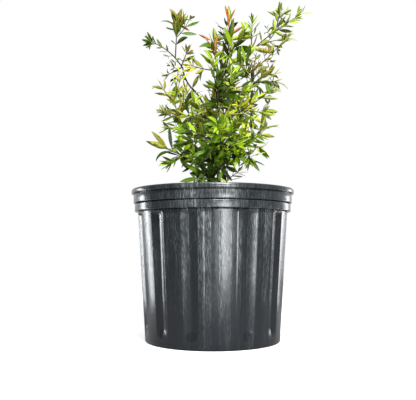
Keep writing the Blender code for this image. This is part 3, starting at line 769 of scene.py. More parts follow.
SOIL = earthy("moist_soil", (0.020, 0.011, 0.011), (0.060, 0.034, 0.032), 260.0)
CRUMBS = earthy("soil_crumbs", (0.026, 0.014, 0.013), (0.095, 0.052, 0.048), 420.0)
CHIPS = earthy("bark_chips", (0.060, 0.028, 0.018), (0.150, 0.075, 0.045), 340.0)
PERLITE = earthy("perlite", (0.52, 0.50, 0.47), (0.82, 0.81, 0.79), 900.0)
print("four finishes for the soil")

# %% Turn the fill
SOIL_LEVEL = 0.2150
SOIL_SLUMP = 0.0040
SOIL_SLUMP_WIDTH = 0.0200
SOIL_GAP = SHELL + 0.0003
SOIL_FOOT = FLOOR + 0.0003
SOIL_ROUGHNESS = 0.0032
SOIL_STATIONS = 360
SOIL_ROWS = 52


def soil_profile():
    """Up the pot's inner skin, and in over the top."""
    edge = WALL_TOP_RADIUS - SOIL_GAP
    foot = (0.0, 0.05, BASE_RADIUS - SOIL_GAP - BASE_CORNER)
    profile = unpressed(*((radius, SOIL_FOOT) for radius in foot))
    profile += [(wall_radius(z) - SOIL_GAP, press(z), z) for z in wall_rows()]
    profile += unpressed((edge, SOIL_LEVEL - SOIL_SLUMP - 0.004))
    for k in range(SOIL_ROWS + 1):
        inward = edge * (1 - k / SOIL_ROWS)
        sink = SOIL_SLUMP * (1 - ease((edge - inward) / SOIL_SLUMP_WIDTH))
        profile += unpressed((inward, SOIL_LEVEL - sink))
    return profile


def roughened_ground():
    """Lifts and sinks what faces up near the soil's level."""
    recipe = Recipe("roughened_ground", Relief="Float", Material="Material")
    place = recipe.node("GeometryNodeInputPosition")
    height = recipe.split(place)[2]
    top = height.eased(SOIL_LEVEL - SOIL_SLUMP - 0.001, SOIL_LEVEL - SOIL_SLUMP + 0.001)
    lumps = recipe.noise(place, 70.0, 4.0, 0.65) - 0.5
    recipe.ends_moved(recipe.joined(0.0, 0.0, lumps * top * recipe.given("Relief")))
    return recipe


profile = soil_profile()
soil = new_item("soil", line_mesh("soil_profile", [profile]))
TURNING.on(
    soil, Stations=SOIL_STATIONS + 1, Rows=len(profile), Seam_height=0.0, Flatness=1.0, Waver=0.0,
    Material=SOIL, **FLUTES)
roughened_ground().on(soil, Relief=SOIL_ROUGHNESS, Material=SOIL)
make_plain(soil, 60)
keep(soil, "potting_soil", "soil_fill")

# %% [markdown]
# Crumbs, chips and perlite differ only in their numbers, so one recipe strews all three. Their
# shapes are balls of a few faces, dented at random and flattened. Most of them are small,
# because the size comes from the square of a random number.

# %% Strew crumbs, chips and perlite
SHAPE_COUNT = 6
DENTS = (0.72, 1.2)
SINK = -0.0002
FACES_UP = 0.4
STREW_DEPTH = 0.008
FULL_TURN = 6.28
# name: (squash sideways and upwards, fineness, seed, pieces to the square metre, size of the
# smallest and of the largest, finish)
STREWN = {
    "soil_crumbs": (1.0, 0.8, 1, 11, 90000.0, 0.0012, 0.0042, CRUMBS),
    "bark_chips": (0.45, 0.30, 1, 23, 16000.0, 0.0030, 0.0100, CHIPS),
    "perlite": (0.9, 0.85, 2, 37, 4200.0, 0.0014, 0.0040, PERLITE),
}


def pebble(name, sideways, upwards, fineness, rng):
    """A lumpy shape of about unit size."""
    work = bmesh.new()
    bmesh.ops.create_icosphere(work, subdivisions=fineness, radius=0.5)
    for vertex in work.verts:
        vertex.co *= rng.uniform(*DENTS)
        vertex.co.x *= sideways
        vertex.co.z *= upwards
    return mesh_from(name, work)


def strewing():
    """Shapes picked at random and strewn on what faces up."""
    recipe = Recipe(
        "strewing", Shapes="Collection", Density="Float", Least="Float", Most="Float", Seed="Int",
        Material="Material")
    given = recipe.given
    up = recipe.split(recipe.node("GeometryNodeInputNormal"))[2]
    level = recipe.split(recipe.node("GeometryNodeInputPosition"))[2]
    top = (up > FACES_UP) * (level > SOIL_LEVEL - STREW_DEPTH)
    points = recipe.node(
        "GeometryNodeDistributePointsOnFaces", None,
        {0: given("Geometry"), 1: top, 4: given("Density"), 6: given("Seed")})
    turn = recipe.drawn("FLOAT_VECTOR", (0.0,) * 3, (FULL_TURN,) * 3, given("Seed"))
    pick = recipe.drawn("INT", 0, SHAPE_COUNT - 1, given("Seed") + 1)
    chance = recipe.drawn("FLOAT", 0.0, 1.0, given("Seed") + 2)
    size = given("Least") + (given("Most") - given("Least")) * chance * chance
    placed = recipe.set_on(points, pick, turn, size)
    recipe.ends_with(
        recipe.node("GeometryNodeTranslateInstances", None, {0: placed, 2: (0.0, 0.0, SINK)}))
    return recipe


STREWING = strewing()
for name, (sideways, upwards, fineness, seed, density, least, most, finish) in STREWN.items():
    rng = random.Random(seed)
    shapes = shelf(f"{name}_shapes", [
        pebble(f"{name}_shapes_{index}", sideways, upwards, fineness, rng)
        for index in range(SHAPE_COUNT)])
    piece = new_item(name, soil.data.copy())
    STREWING.on(
        piece, Shapes=shapes, Density=density, Least=least, Most=most, Seed=seed, Material=finish)
    make_plain(piece, 50)
    clear_shelf(shapes)
    keep(piece, "potting_soil")

# %% [markdown]
# ## Stems and boughs
#
# Two stems come up through the soil and fork into boughs. Each is a chain of places with a
# thickness at every place. A recipe sweeps a round section along a smooth curve through them.
# Separate tubes would meet in hard creases, so the tubes are then fused into one skin of small
# cells, and the skin is softened, which leaves the little collar that a real fork has. Bark
# relief goes on last, because the cells would wipe it out.

# %% Chains of the limbs
# height in mm above the soil, and swelling
ROOT_FLARE = ((-4.0, 2.5), (0.0, 2.15), (3.0, 1.60), (8.0, 1.22), (18.0, 1.0))
COLLAR_REACH = 0.006
COLLAR_SWELL = 1.18

# name: (radius at foot, radius at tip, limb it grows from, share along that limb, places in mm)
LIMBS = {
    "trunk": (3.2, 1.5, None, 0.0, (
        (20, 0, 252), (19, 0, 271), (15, 0, 304), (14, 1, 332), (20, 2, 354), (25, 3, 387),
        (19, 2, 405), (16, 1, 420), (21, 0, 435), (25, 0, 453))),
    "stem_left": (2.7, 1.5, None, 0.0, (
        (-6, -8, 251), (-15, -10, 273), (-23, -12, 294), (-33, -14, 313), (-41, -15, 327))),
    "bough_left": (1.9, 1.2, "trunk", 0.42, (
        (1, -8, 348), (-11, -14, 370), (-25, -18, 392), (-37, -19, 405), (-45, -20, 420), (-48, -20, 434))),
    "bough_right_high": (1.8, 1.2, "trunk", 0.72, ((34, 8, 412), (44, 12, 440), (56, 14, 465))),
    "bough_right_middle": (1.7, 1.2, "trunk", 0.62, ((38, -8, 383), (51, -15, 394), (60, -18, 406))),
    "bough_right_low": (1.9, 1.2, "trunk", 0.43, ((32, 6, 348), (45, 10, 360), (54, 12, 369))),
    "bough_low_right": (1.9, 1.2, "trunk", 0.28, ((36, -8, 306), (53, -14, 315))),
    "bough_low_left": (1.7, 1.2, "stem_left", 0.48, ((-33, -17, 286), (-47, -22, 292))),
    "bough_front": (1.9, 1.2, "trunk", 0.36, ((12, -22, 330), (10, -46, 352))),
    "bough_back": (1.9, 1.2, "trunk", 0.38, ((16, 24, 334), (18, 48, 356))),
}


def length_of(points):
    return sum((b - a).length for a, b in zip(points, points[1:]))


def along_points(points, share):
    """The place and heading at a share of the length of a chain of points."""
    left = share * length_of(points)
    for a, b in zip(points, points[1:]):
        length = (b - a).length
        if left <= length:
            return a.lerp(b, left / length), (b - a).normalized()
        left -= length
    return points[-1].copy(), (points[-1] - points[-2]).normalized()


def limb_chains():
    """Each limb's places and radii. A bough starts on its limb's axis, thick enough to leave a collar."""
    chains = {}
    for name, (foot, tip, parent, share, places) in LIMBS.items():
        points = [Vector(place) * MM for place in places]
        if parent is None:
            base = Vector((points[0].x, points[0].y, SOIL_LEVEL))
            points = [base + UP * height * MM for height, _ in ROOT_FLARE] + points
            swell = [factor for _, factor in ROOT_FLARE] + [1.0] * len(places)
        else:
            origin, _ = along_points(chains[parent][0], share)
            near = origin.lerp(points[0], min(0.45, COLLAR_REACH / (points[0] - origin).length))
            points = [origin, near] + points
            swell = [1.0, COLLAR_SWELL] + [1.0] * len(places)
        last = len(points) - 1
        radii = [(foot + (tip - foot) * k / last) * swell[k] * MM for k in range(last + 1)]
        chains[name] = (points, radii)
    return chains


CHAINS = limb_chains()
print(f"{len(CHAINS)} limbs")

# %% Recipe for a swept limb


def swept_limbs():
    recipe = Recipe("swept_limbs", Sides="Int", Spacing="Float", Material="Material")
    curve = recipe.node("GeometryNodeMeshToCurve", None, {0: recipe.given("Geometry")})
    curve = recipe.node("GeometryNodeCurveSplineType", {"spline_type": "CATMULL_ROM"}, {0: curve})
    curve = recipe.node(
        "GeometryNodeResampleCurve", {"mode": "LENGTH"}, {0: curve, 3: recipe.given("Spacing")})
    ring = recipe.node(
        "GeometryNodeCurvePrimitiveCircle", {"mode": "RADIUS"}, {0: recipe.given("Sides"), 4: 1.0})
    recipe.ends_with(recipe.node(
        "GeometryNodeCurveToMesh", None,
        {0: curve, 1: ring, 2: recipe.named("thickness", "FLOAT"), 3: True}))
    return recipe


def barked():
    """Ridges along the grain, slight knots, and pits, moved along the surface's own normals."""
    recipe = Recipe("barked", Relief="Float", Material="Material")
    place = recipe.node("GeometryNodeInputPosition")
    ridges = recipe.noise(place * (1.0, 1.0, 0.16), 620.0, 3.0, 0.6) - 0.5
    knots = recipe.noise(place, 95.0, 2.0, 0.5).eased(0.56, 0.78)
    height = (ridges + knots * 1.3) * recipe.given("Relief")
    recipe.ends_moved(recipe.node("GeometryNodeInputNormal") * height)
    return recipe


SWEPT = swept_limbs()
print("limbs follow their chains as smooth tubes")

# %% [markdown]
# Young pomegranate bark is thin, grey-brown over green, with pale flecks and darker furrows.
# The flecks are cork, so they stand out from the bark a little.

# %% Finish of the bark
FURROW, WOOD = (0.008, 0.006, 0.004), (0.065, 0.048, 0.031)
GREENISH, CORK = (0.085, 0.095, 0.035), (0.25, 0.22, 0.17)


def bark_finish():
    finish = Finish("bark", Specular_IOR_Level=0.22)
    furrows = finish.noise(finish.place * (1.0, 1.0, 0.2), 700.0, 4.0, 0.65)
    flecks = finish.noise(finish.place, 520.0, 2.0, 0.6).eased(0.60, 0.72)
    patches = finish.noise(finish.place, 60.0, 3.0, 0.6)
    wood = finish.mix(furrows.eased(0.35, 0.65), FURROW, WOOD)
    wood = finish.mix(patches.eased(0.45, 0.65) * 0.35, wood, GREENISH)
    finish.drive("Base Color", finish.mix(flecks * 0.6, wood, CORK))
    finish.drive("Roughness", 0.62 + 0.25 * furrows)
    finish.relief(furrows * 0.7 + flecks * 0.3, 0.0004)
    return finish.material


BARK = bark_finish()
print("bark: furrows, green patches and cork flecks")

# %% Fuse and bark the limbs
SKIN_CELL = 0.00045
LIMB_SIDES = 20
LIMB_SPACING = 0.0025
BARK_RELIEF = 0.00042
NO_EDGES = 180

radii = [radius for _, chain in CHAINS.values() for radius in chain]
wood = new_item("woody_limbs", line_mesh(
    "limbs", [points for points, _ in CHAINS.values()], thickness=("FLOAT", radii)))
SWEPT.on(wood, Sides=LIMB_SIDES, Spacing=LIMB_SPACING, Material=BARK)
skin = wood.modifiers.new("one_skin", "REMESH")
skin.mode = "VOXEL"
skin.voxel_size = SKIN_CELL
soft = wood.modifiers.new("soften", "SMOOTH")
soft.factor = 0.5
soft.iterations = 6
barked().on(wood, Relief=BARK_RELIEF, Material=BARK)
make_plain(wood, NO_EDGES)
keep(wood, "bark", *LIMBS)

# %% [markdown]
# ## How the shoots branch
#
# Every spray follows one seeded rule. A shoot carries pairs of opposite leaves, each pair
# turned a quarter on the last, with the leaves standing out at its foot and leaning forward at
# its tip, and a twig may start above a pair. The imported solids carry a thinned copy of the same
# sprays, so the draws from each shoot's seed come in the same order here. That gives the same
# shoots and twigs, with each leaf at the same place and side, though here the leaves lean and
# roll more freely, and some are longer. Then the rule goes one step finer, to short spurs.
#
# Old leaves deep in the crown are dark green, which also serves as painted shade there, and
# those in the light are fresh or lime green, which also serves as painted light; the sprays at
# the front of the core are dealt these bright tints as painted light. New growth opens copper
# red and passes through gold and olive. So each shoot is dealt three colours, for its foot, its
# middle and its tip.

# %% Sizes of the sprays
# name: (limb, share along it, shoots); a shoot is (share of the first shoot that it starts at,
# tip in mm, bow as a share of its length, bare share at its foot, leaf length in mm, seed,
# tints at its foot, middle and tip)
# dark tints at the foot of the shoots are partly painted shade, and the fresh and lime tints of the core
# sprays partly painted light
FOLIAGE = {
    "foliage_top": ("trunk", 1.0, (
        (0.00, (28, 5, 519), 0.00, 0.10, 38, 213, "deep fresh coral"),
        (0.15, (46, -25, 483), -0.05, 0.35, 38, 211, "green fresh fresh"))),
    "foliage_top_left": ("trunk", 0.86, (
        (0.00, (1, -12, 469), -0.04, 0.20, 35, 235, "deep fresh rose"),
        (0.30, (-33, -30, 434), -0.03, 0.55, 28, 153, "green olive gold"))),
    "foliage_upper_right": ("bough_right_high", 1.0, (
        (0.00, (150, 20, 539), 0.03, 0.30, 23, 184, "green fresh lime"),
        (0.55, (116, 32, 548), -0.02, 0.15, 24, 130, "fresh fresh sage"),
        (0.10, (65, -5, 512), 0.00, 0.40, 27, 239, "green fresh fresh"))),
    "foliage_right_high": ("trunk", 0.94, (
        (0.00, (114, -30, 478), 0.10, 0.25, 31, 92, "green olive sage"),)),
    "foliage_right_inner": ("trunk", 0.8, (
        (0.00, (108, -50, 464), -0.05, 0.35, 22, 213, "bronze sage olive"),
        (0.35, (53, -60, 437), -0.05, 0.30, 32, 322, "green fresh fresh"))),
    "foliage_right_middle": ("bough_right_middle", 1.0, (
        (0.00, (88, -25, 422), 0.00, 0.10, 31, 279, "green olive bronze"),
        (0.05, (72, -8, 428), 0.00, 0.30, 30, 1, "olive olive sage"),
        (0.25, (95, -42, 405), 0.00, 0.20, 31, 292, "green fresh sage"))),
    "foliage_right_low": ("bough_right_low", 1.0, (
        (0.00, (97, 25, 410), 0.03, 0.25, 32, 154, "deep green sage"),
        (0.05, (84, 34, 375), 0.00, 0.25, 36, 344, "deep fresh sage"))),
    "foliage_low_right": ("bough_low_right", 1.0, (
        (0.00, (80, -25, 335), -0.05, 0.15, 34, 218, "fresh olive olive"),
        (0.10, (71, -32, 304), 0.00, 0.20, 31, 31, "gold green sage"),
        (0.05, (58, -36, 282), 0.05, 0.25, 28, 184, "green fresh green"))),
    "foliage_left": ("stem_left", 1.0, (
        (0.00, (-62, -25, 380), -0.04, 0.15, 32, 408, "green gold gold"),
        (0.35, (-72, -34, 356), 0.00, 0.30, 26, 195, "bronze lime sage"),
        (0.10, (-68, -38, 332), 0.00, 0.20, 28, 328, "green fresh sage"),
        (0.50, (-46, -8, 388), 0.00, 0.20, 32, 242, "green olive lime"),
        (0.80, (-78, -30, 396), 0.00, 0.20, 26, 410, "fresh gold olive"))),
    "foliage_low_left": ("bough_low_left", 1.0, (
        (0.00, (-73, -35, 301), -0.03, 0.20, 40, 308, "fresh olive olive"),
        (0.05, (-63, -44, 277), 0.04, 0.20, 30, 317, "green fresh green"))),
    "foliage_upper_left": ("bough_left", 1.0, (
        (0.00, (-100, -32, 474), 0.09, 0.50, 18, 182, "green green green"),
        (0.28, (-57, -8, 514), 0.02, 0.35, 25, 286, "green green bronze"),
        (0.05, (-41, -34, 455), 0.00, 0.30, 22, 139, "green olive coral"),
        (0.02, (-70, -24, 422), 0.00, 0.30, 20, 397, "deep green sage"))),
    "foliage_foot": ("trunk", 0.14, (
        (0.00, (-12, -34, 257), 0.05, 0.15, 30, 237, "deep green lime"),
        (0.55, (-25, -70, 250), 0.08, 0.20, 32, 229, "deep green green"),
        (0.10, (40, -14, 266), 0.03, 0.30, 24, 214, "deep deep green"))),
    "foliage_core_left": ("trunk", 0.4, (
        (0.00, (-12, -42, 352), 0.03, 0.10, 32, 397, "fresh lime gold"),
        (0.50, (-28, -36, 370), 0.00, 0.10, 30, 329, "fresh lime fresh"),
        (0.45, (-1, -50, 370), 0.00, 0.10, 34, 175, "lime gold lime"))),
    "foliage_core_right": ("trunk", 0.52, (
        (0.00, (43, -40, 366), 0.02, 0.10, 30, 402, "fresh lime gold"),
        (0.40, (30, -32, 388), 0.00, 0.15, 32, 321, "lime lime gold"),
        (0.60, (62, -46, 346), 0.00, 0.10, 28, 111, "green lime lime"))),
    "foliage_core_low": ("trunk", 0.24, (
        (0.00, (-12, -38, 304), 0.04, 0.10, 30, 324, "deep green fresh"),
        (0.50, (-29, -48, 281), 0.05, 0.10, 28, 417, "green fresh green"),
        (0.30, (8, -58, 296), 0.00, 0.15, 30, 174, "deep green lime"))),
    "foliage_core_low_right": ("trunk", 0.32, (
        (0.00, (41, -48, 314), 0.04, 0.10, 30, 10, "green fresh lime"),
        (0.50, (37, -62, 285), 0.05, 0.10, 30, 144, "green green fresh"))),
    "foliage_front_high": ("bough_front", 1.0, (
        (0.00, (0, -108, 418), -0.06, 0.10, 30, 83, "deep green fresh"),
        (0.30, (26, -96, 386), 0.00, 0.15, 30, 13, "deep green lime"))),
    "foliage_front_low": ("trunk", 0.3, (
        (0.00, (6, -108, 322), 0.04, 0.25, 30, 162, "green fresh fresh"),
        (0.45, (-34, -92, 318), 0.00, 0.15, 30, 186, "green green fresh"))),
    "foliage_back_high": ("bough_back", 1.0, (
        (0.00, (22, 112, 440), -0.06, 0.10, 30, 215, "deep green lime"),
        (0.30, (58, 84, 418), 0.00, 0.15, 30, 124, "deep fresh olive"))),
    "foliage_back_low": ("trunk", 0.26, (
        (0.00, (0, 104, 318), 0.04, 0.15, 30, 162, "deep green fresh"),
        (0.40, (48, 86, 330), 0.00, 0.15, 30, 348, "deep green green"),
        (0.45, (-52, 70, 326), 0.00, 0.15, 30, 234, "deep green olive"))),
    "foliage_back_left": ("trunk", 0.48, (
        (0.00, (-54, 72, 402), 0.03, 0.20, 30, 402, "green fresh gold"),
        (0.45, (-74, 36, 372), 0.00, 0.15, 30, 108, "deep green fresh"))),
}
print(f"{len(FOLIAGE)} sprays, {sum(len(shoots) for _, _, shoots in FOLIAGE.values())} shoots")

# %% The branching rule
INTERNODE = 0.0130
PAIR_TURN = 90.0
LEAF_LEAN_FOOT = 66.0
LEAF_LEAN_TIP = 32.0
LEAF_ROLL = 62.0
LEAF_SIZES = (0.78, 1.18)
BEARING_STRAY = 18  # how far, in degrees, leaves and pairs stray from the rule
LEAN_STRAY = 11
TURN_STRAY = 15
TWIG_LENGTH = (0.026, 0.046)
TWIG_CHANCE = 0.42
TWIG_ZONE = 0.75
TWIG_LEAN = (34.0, 56.0)
SHOOT_STEP = 0.024


def bowed_axis(start, tip, bow):
    """Points of a shoot from start to tip, bowed up by a share of its length, or down if negative."""
    chord = tip - start
    heading = chord.normalized()
    lift = UP - heading * UP.dot(heading)
    lift = lift.normalized() if lift.length > 0.15 else Vector((1.0, 0.0, 0.0))
    control = (start + tip) / 2 + lift * (2 * bow * chord.length)
    shares = steps_between(0.0, 1.0, max(2, round(chord.length / SHOOT_STEP)))
    return [start * (1 - t) ** 2 + control * (2 * t * (1 - t)) + tip * t * t for t in shares]


def leaf_frame(origin, along, turn, lean, roll):
    """Axes of a leaf on a shoot: out along the leaf, across it, and up from its face."""
    side = Matrix.Rotation(turn, 3, along) @ along.orthogonal().normalized()
    out = (along * math.cos(lean) + side * math.sin(lean)).normalized()
    face = (along - out * along.dot(out)).normalized()
    face = Matrix.Rotation(roll, 3, out) @ face
    return origin, out, face.cross(out).normalized(), face


def leaves_and_twigs(points, bare, leaf_length, rng, is_shoot):
    """Leaves as (frame, length, share up the shoot) and twigs as (start, tip)."""
    count = max(1, round(length_of(points) * (1 - bare) / INTERNODE))
    turn = rng.uniform(0.0, math.pi)
    leaves, twigs = [], []
    for share in [bare + (1 - bare) * k / count for k in range(count + 1)]:
        origin, along = along_points(points, share)
        size = leaf_length * (0.62 + 0.38 * math.sin(math.pi * (0.15 + 0.75 * share)))
        lean = LEAF_LEAN_FOOT + (LEAF_LEAN_TIP - LEAF_LEAN_FOOT) * share ** 1.4
        for side in (0.0, math.pi):
            angle = turn + side + math.radians(rng.uniform(-BEARING_STRAY, BEARING_STRAY))
            tilt = math.radians(lean + rng.uniform(-LEAN_STRAY, LEAN_STRAY))
            roll = math.radians(rng.uniform(-LEAF_ROLL, LEAF_ROLL))
            scale = rng.uniform(*LEAF_SIZES)
            leaves.append((leaf_frame(origin, along, angle, tilt, roll), size * scale, share))
        chance, reach = rng.random(), rng.uniform(*TWIG_LENGTH)
        lean = math.radians(rng.uniform(*TWIG_LEAN))
        angle = turn + math.pi / 2 + math.pi * rng.randrange(2)
        if is_shoot and chance < TWIG_CHANCE and share < TWIG_ZONE:
            out = leaf_frame(origin, along, angle, lean, 0.0)[1]
            twigs.append((origin, origin + out * reach * (1.2 - 0.7 * share)))
        turn += math.radians(PAIR_TURN + rng.uniform(-TURN_STRAY, TURN_STRAY))
    return leaves, twigs


def shoot_axes(limb, share, shoots):
    """The axes of a spray's own shoots; the first grows on from its limb."""
    axes = []
    for fork, place, bow, *_ in shoots:
        parent, start = (axes[0], fork) if axes else (CHAINS[limb][0], share)
        axes.append(bowed_axis(along_points(parent, start)[0], Vector(place) * MM, bow))
    return axes


print("the rule gives leaves in crossed pairs, with twigs between them")

# %% [markdown]
# Leaves also crowd round each growing tip before its stem lengthens, and now and then a leaf
# takes the next tint. These draws have a seed of their own, so that they leave the rule's alone.

# %% Grow the sprays
TWIG_SAG = -0.07
TWIG_BARE = 0.25
SPUR_SAG = -0.05
SPUR_BARE = 0.45
SPUR_CHANCE = 0.24
SPUR_ZONE = (0.12, 0.80)
SPUR_LEAN = (40, 70)
SPUR_LENGTH = (0.007, 0.015)
SPUR_LEAF = 0.58
TUFT_LEAF = (0.50, 0.95)
EXTRA_SEED = 1000  # on top of a shoot's own, for spurs, tufts and tints
# the places on the shoot that leaves take their tint from
SPUR_PLACE = 0.2
TUFT_PLACE = (0.35, 1.0)
TWIG_PLACE, TWIG_SPAN = 0.15, 0.45
# by the shoot's seed: how many leaves, how far up the shoot they begin, their size and widest lean
TUFT = {
    286: (42, 0.76, 1.25, 92), 182: (15, 0.86, 1.15, 90), 130: (14, 0.75, 1.0, 80),
    184: (7, 0.85, 1.0, 75), 139: (8, 0.80, 1.0, 80), 213: (4, 0.93, 1.0, 14)}
OTHER_TUFT = (4, 0.88, 1.0, 75)
STRAY_CHANCE = 0.22
STRAY = {
    "deep": "green", "green": "deep", "fresh": "green", "lime": "fresh", "gold": "lime",
    "olive": "green", "sage": "green", "bronze": "olive", "coral": "bronze", "rose": "coral"}


def tint_of(tints, share, rng):
    """The tint at a share of the way up a shoot, blurred a little by chance."""
    step = min(2, int(max(0.0, share + rng.uniform(-0.10, 0.10)) * 3))
    return STRAY[tints[step]] if rng.random() < STRAY_CHANCE else tints[step]


def grow_spurs(points, leaf_length, rng):
    """Short side shoots with a pair or two of small leaves."""
    spurs, leaves = [], []
    for _ in range(max(1, int(length_of(points) / INTERNODE))):
        if rng.random() > SPUR_CHANCE:
            continue
        origin, along = along_points(points, rng.uniform(*SPUR_ZONE))
        turn = rng.uniform(0, 2 * math.pi)
        out = leaf_frame(origin, along, turn, math.radians(rng.uniform(*SPUR_LEAN)), 0.0)[1]
        spur = bowed_axis(origin, origin + out * rng.uniform(*SPUR_LENGTH), SPUR_SAG)
        spurs.append(spur)
        leaves += leaves_and_twigs(spur, SPUR_BARE, leaf_length * SPUR_LEAF, rng, False)[0]
    return spurs, leaves


def grow_tuft(points, leaf_length, tuft, rng):
    """The leaves that crowd round a growing tip."""
    count, begins, size, widest = tuft
    leaves = []
    for _ in range(count):
        origin, along = along_points(points, rng.uniform(begins, 1.0))
        lean = math.radians(rng.uniform(0.2, 1.0) * widest)
        roll = math.radians(rng.uniform(-LEAF_ROLL, LEAF_ROLL))
        leaf = leaf_frame(origin, along, rng.uniform(0, 2 * math.pi), lean, roll)
        leaves.append((leaf, leaf_length * size * rng.uniform(*TUFT_LEAF), 1.0))
    return leaves


def grow_shoot(axis, bare, leaf_length, seed):
    """A shoot's twigs, spurs and leaves, each leaf with the place its tint is taken from."""
    rng, chance = random.Random(seed), random.Random(seed + EXTRA_SEED)
    on_shoot, starts = leaves_and_twigs(axis, bare, leaf_length, rng, True)
    grown = [(leaf, leaf[2]) for leaf in on_shoot]
    spurs, on_spurs = grow_spurs(axis, leaf_length, chance)
    grown += [(leaf, SPUR_PLACE) for leaf in on_spurs]
    tuft = grow_tuft(axis, leaf_length, TUFT.get(seed, OTHER_TUFT), chance)
    grown += [(leaf, chance.uniform(*TUFT_PLACE)) for leaf in tuft]
    twigs = [bowed_axis(start, tip, TWIG_SAG) for start, tip in starts]
    for twig in twigs:
        on_twig, _ = leaves_and_twigs(twig, TWIG_BARE, leaf_length, rng, False)
        grown += [(leaf, TWIG_PLACE + TWIG_SPAN * leaf[2]) for leaf in on_twig]
        more, on_spurs = grow_spurs(twig, leaf_length, chance)
        spurs += more
        grown += [(leaf, SPUR_PLACE) for leaf in on_spurs]
    return twigs, spurs, grown, chance


STEMS = {"shoots": [], "twigs": [], "spurs": []}
LEAVES = []
for limb, share, shoots in FOLIAGE.values():
    for axis, (_, _, _, bare, leaf_mm, seed, tints) in zip(shoot_axes(limb, share, shoots), shoots):
        twigs, spurs, grown, chance = grow_shoot(axis, bare, leaf_mm * MM, seed)
        STEMS["shoots"].append(axis)
        STEMS["twigs"] += twigs
        STEMS["spurs"] += spurs
        for (leaf, length, _), place in grown:
            LEAVES.append((leaf, length, tint_of(tints.split(), place, chance), chance.random()))
print({name: len(chains) for name, chains in STEMS.items()}, f"and {len(LEAVES)} leaves")

# %% [markdown]
# ## Young stems
#
# Shoots are slender and brown once they have hardened, reddish as twigs, and greenish while
# soft. They taper to their tips, and are swept by the same recipe as the limbs.

# %% Sweep the shoots, twigs and spurs
# name: (radius at foot and at tip in mm, sides, dark and light colour)
STEM_KINDS = {
    "shoots": (1.15, 0.55, 9, (0.014, 0.010, 0.005), (0.050, 0.036, 0.017)),
    "twigs": (0.75, 0.42, 8, (0.030, 0.024, 0.009), (0.105, 0.062, 0.024)),
    "spurs": (0.50, 0.32, 7, (0.080, 0.120, 0.028), (0.200, 0.150, 0.050)),
}
STEM_SPACING = 0.0045


def stem_finish(name, dark, light):
    finish = Finish(name, Specular_IOR_Level=0.2)
    grain = finish.noise(finish.place * (1.0, 1.0, 0.3), 900.0, 3.0, 0.6)
    patches = finish.noise(finish.place, 120.0, 2.0, 0.5)
    finish.drive("Base Color", finish.mix(patches.eased(0.35, 0.65), dark, light))
    finish.drive("Roughness", 0.45 + 0.2 * grain)
    finish.relief(grain, 0.0002)
    return finish.material


def tapered(count, foot, tip):
    return [(foot + (tip - foot) * k / (count - 1)) * MM for k in range(count)]


for name, (foot, tip, sides, dark, light) in STEM_KINDS.items():
    chains = STEMS[name]
    radii = [radius for chain in chains for radius in tapered(len(chain), foot, tip)]
    piece = new_item(name, line_mesh(name, chains, thickness=("FLOAT", radii)))
    skin = stem_finish(f"{name[:-1]}_skin", dark, light)
    SWEPT.on(piece, Sides=sides, Spacing=STEM_SPACING, Material=skin)
    make_plain(piece, 60)
    keep(piece, "bark", *FOLIAGE)

# %% [markdown]
# ## The leaf
#
# A pomegranate leaf is narrow, glossy and a little leathery, on a short red stalk. Its two
# halves arch away from a sunken midrib, and the blade curls back. Flat cards would look like
# paper, so each leaf is a thin closed blade: five points over the top at every step along it
# and one beneath the midrib. Twelve blades with different curls and twists are enough, because
# turn and size hide the repeats.

# %% Shape a leaf
LEAF_SHAPES = 12
LEAF_SEED = 5
LEAF_WIDTH = 0.228
LEAF_WIDEST = 0.46
LEAF_STATIONS = (0.0, 0.035, 0.075, 0.16, 0.29, 0.43, 0.57, 0.71, 0.84, 0.94, 1.0)
LEAF_THICK = 0.012
LEAF_FOOT_BEND = 0.10
STALK_UNTIL = 0.075
STALK_HALF = 0.011
STALK_THICK = 0.006  # more than the blade
SECTION = ((-1.0, 1.0), (-0.52, 0.66), (0.0, 0.0), (0.52, 0.66), (1.0, 1.0))
UPPER_PART, UNDER_PART, STALK_PART = 0, 1, 2


def half_width(share, width):
    """Half the blade's width at a share of its length: a stalk, then a lance-shaped blade."""
    if share <= STALK_UNTIL:
        return STALK_HALF
    t = (share - STALK_UNTIL) / (1.0 - STALK_UNTIL)
    swell = math.sin(math.pi * t ** (math.log(0.5) / math.log(LEAF_WIDEST))) ** 0.82
    return max(STALK_HALF * (1 - t), width / 2 * swell)


def leaf_points(rng):
    """Six points at every station of a blade of unit length along +Y, its face up, then its tip."""
    width = LEAF_WIDTH * rng.uniform(0.86, 1.18)
    curl = rng.uniform(-0.35, 1.30)
    twist = rng.uniform(-0.55, 0.55)
    fold = rng.uniform(0.10, 0.50)
    sway = rng.uniform(-0.16, 0.16)
    points = []
    spine = Vector((0.0, 0.0, 0.0))
    last = 0.0
    for share in LEAF_STATIONS:
        bend = LEAF_FOOT_BEND - curl * share * share
        aim = Vector((sway * share, math.cos(bend), math.sin(bend))).normalized()
        spine = spine + aim * (share - last)
        last = share
        side = Matrix.Rotation(twist * share, 3, aim) @ Vector((1.0, 0.0, 0.0))
        up = side.cross(aim).normalized()
        half = half_width(share, width)
        lift = fold * half
        thick = LEAF_THICK * (1.0 - 0.55 * share) + (STALK_THICK if share <= STALK_UNTIL else 0.0)
        points += [spine + side * half * reach + up * lift * rise for reach, rise in SECTION]
        points.append(spine - up * thick)
    return points[:-6] + [spine]


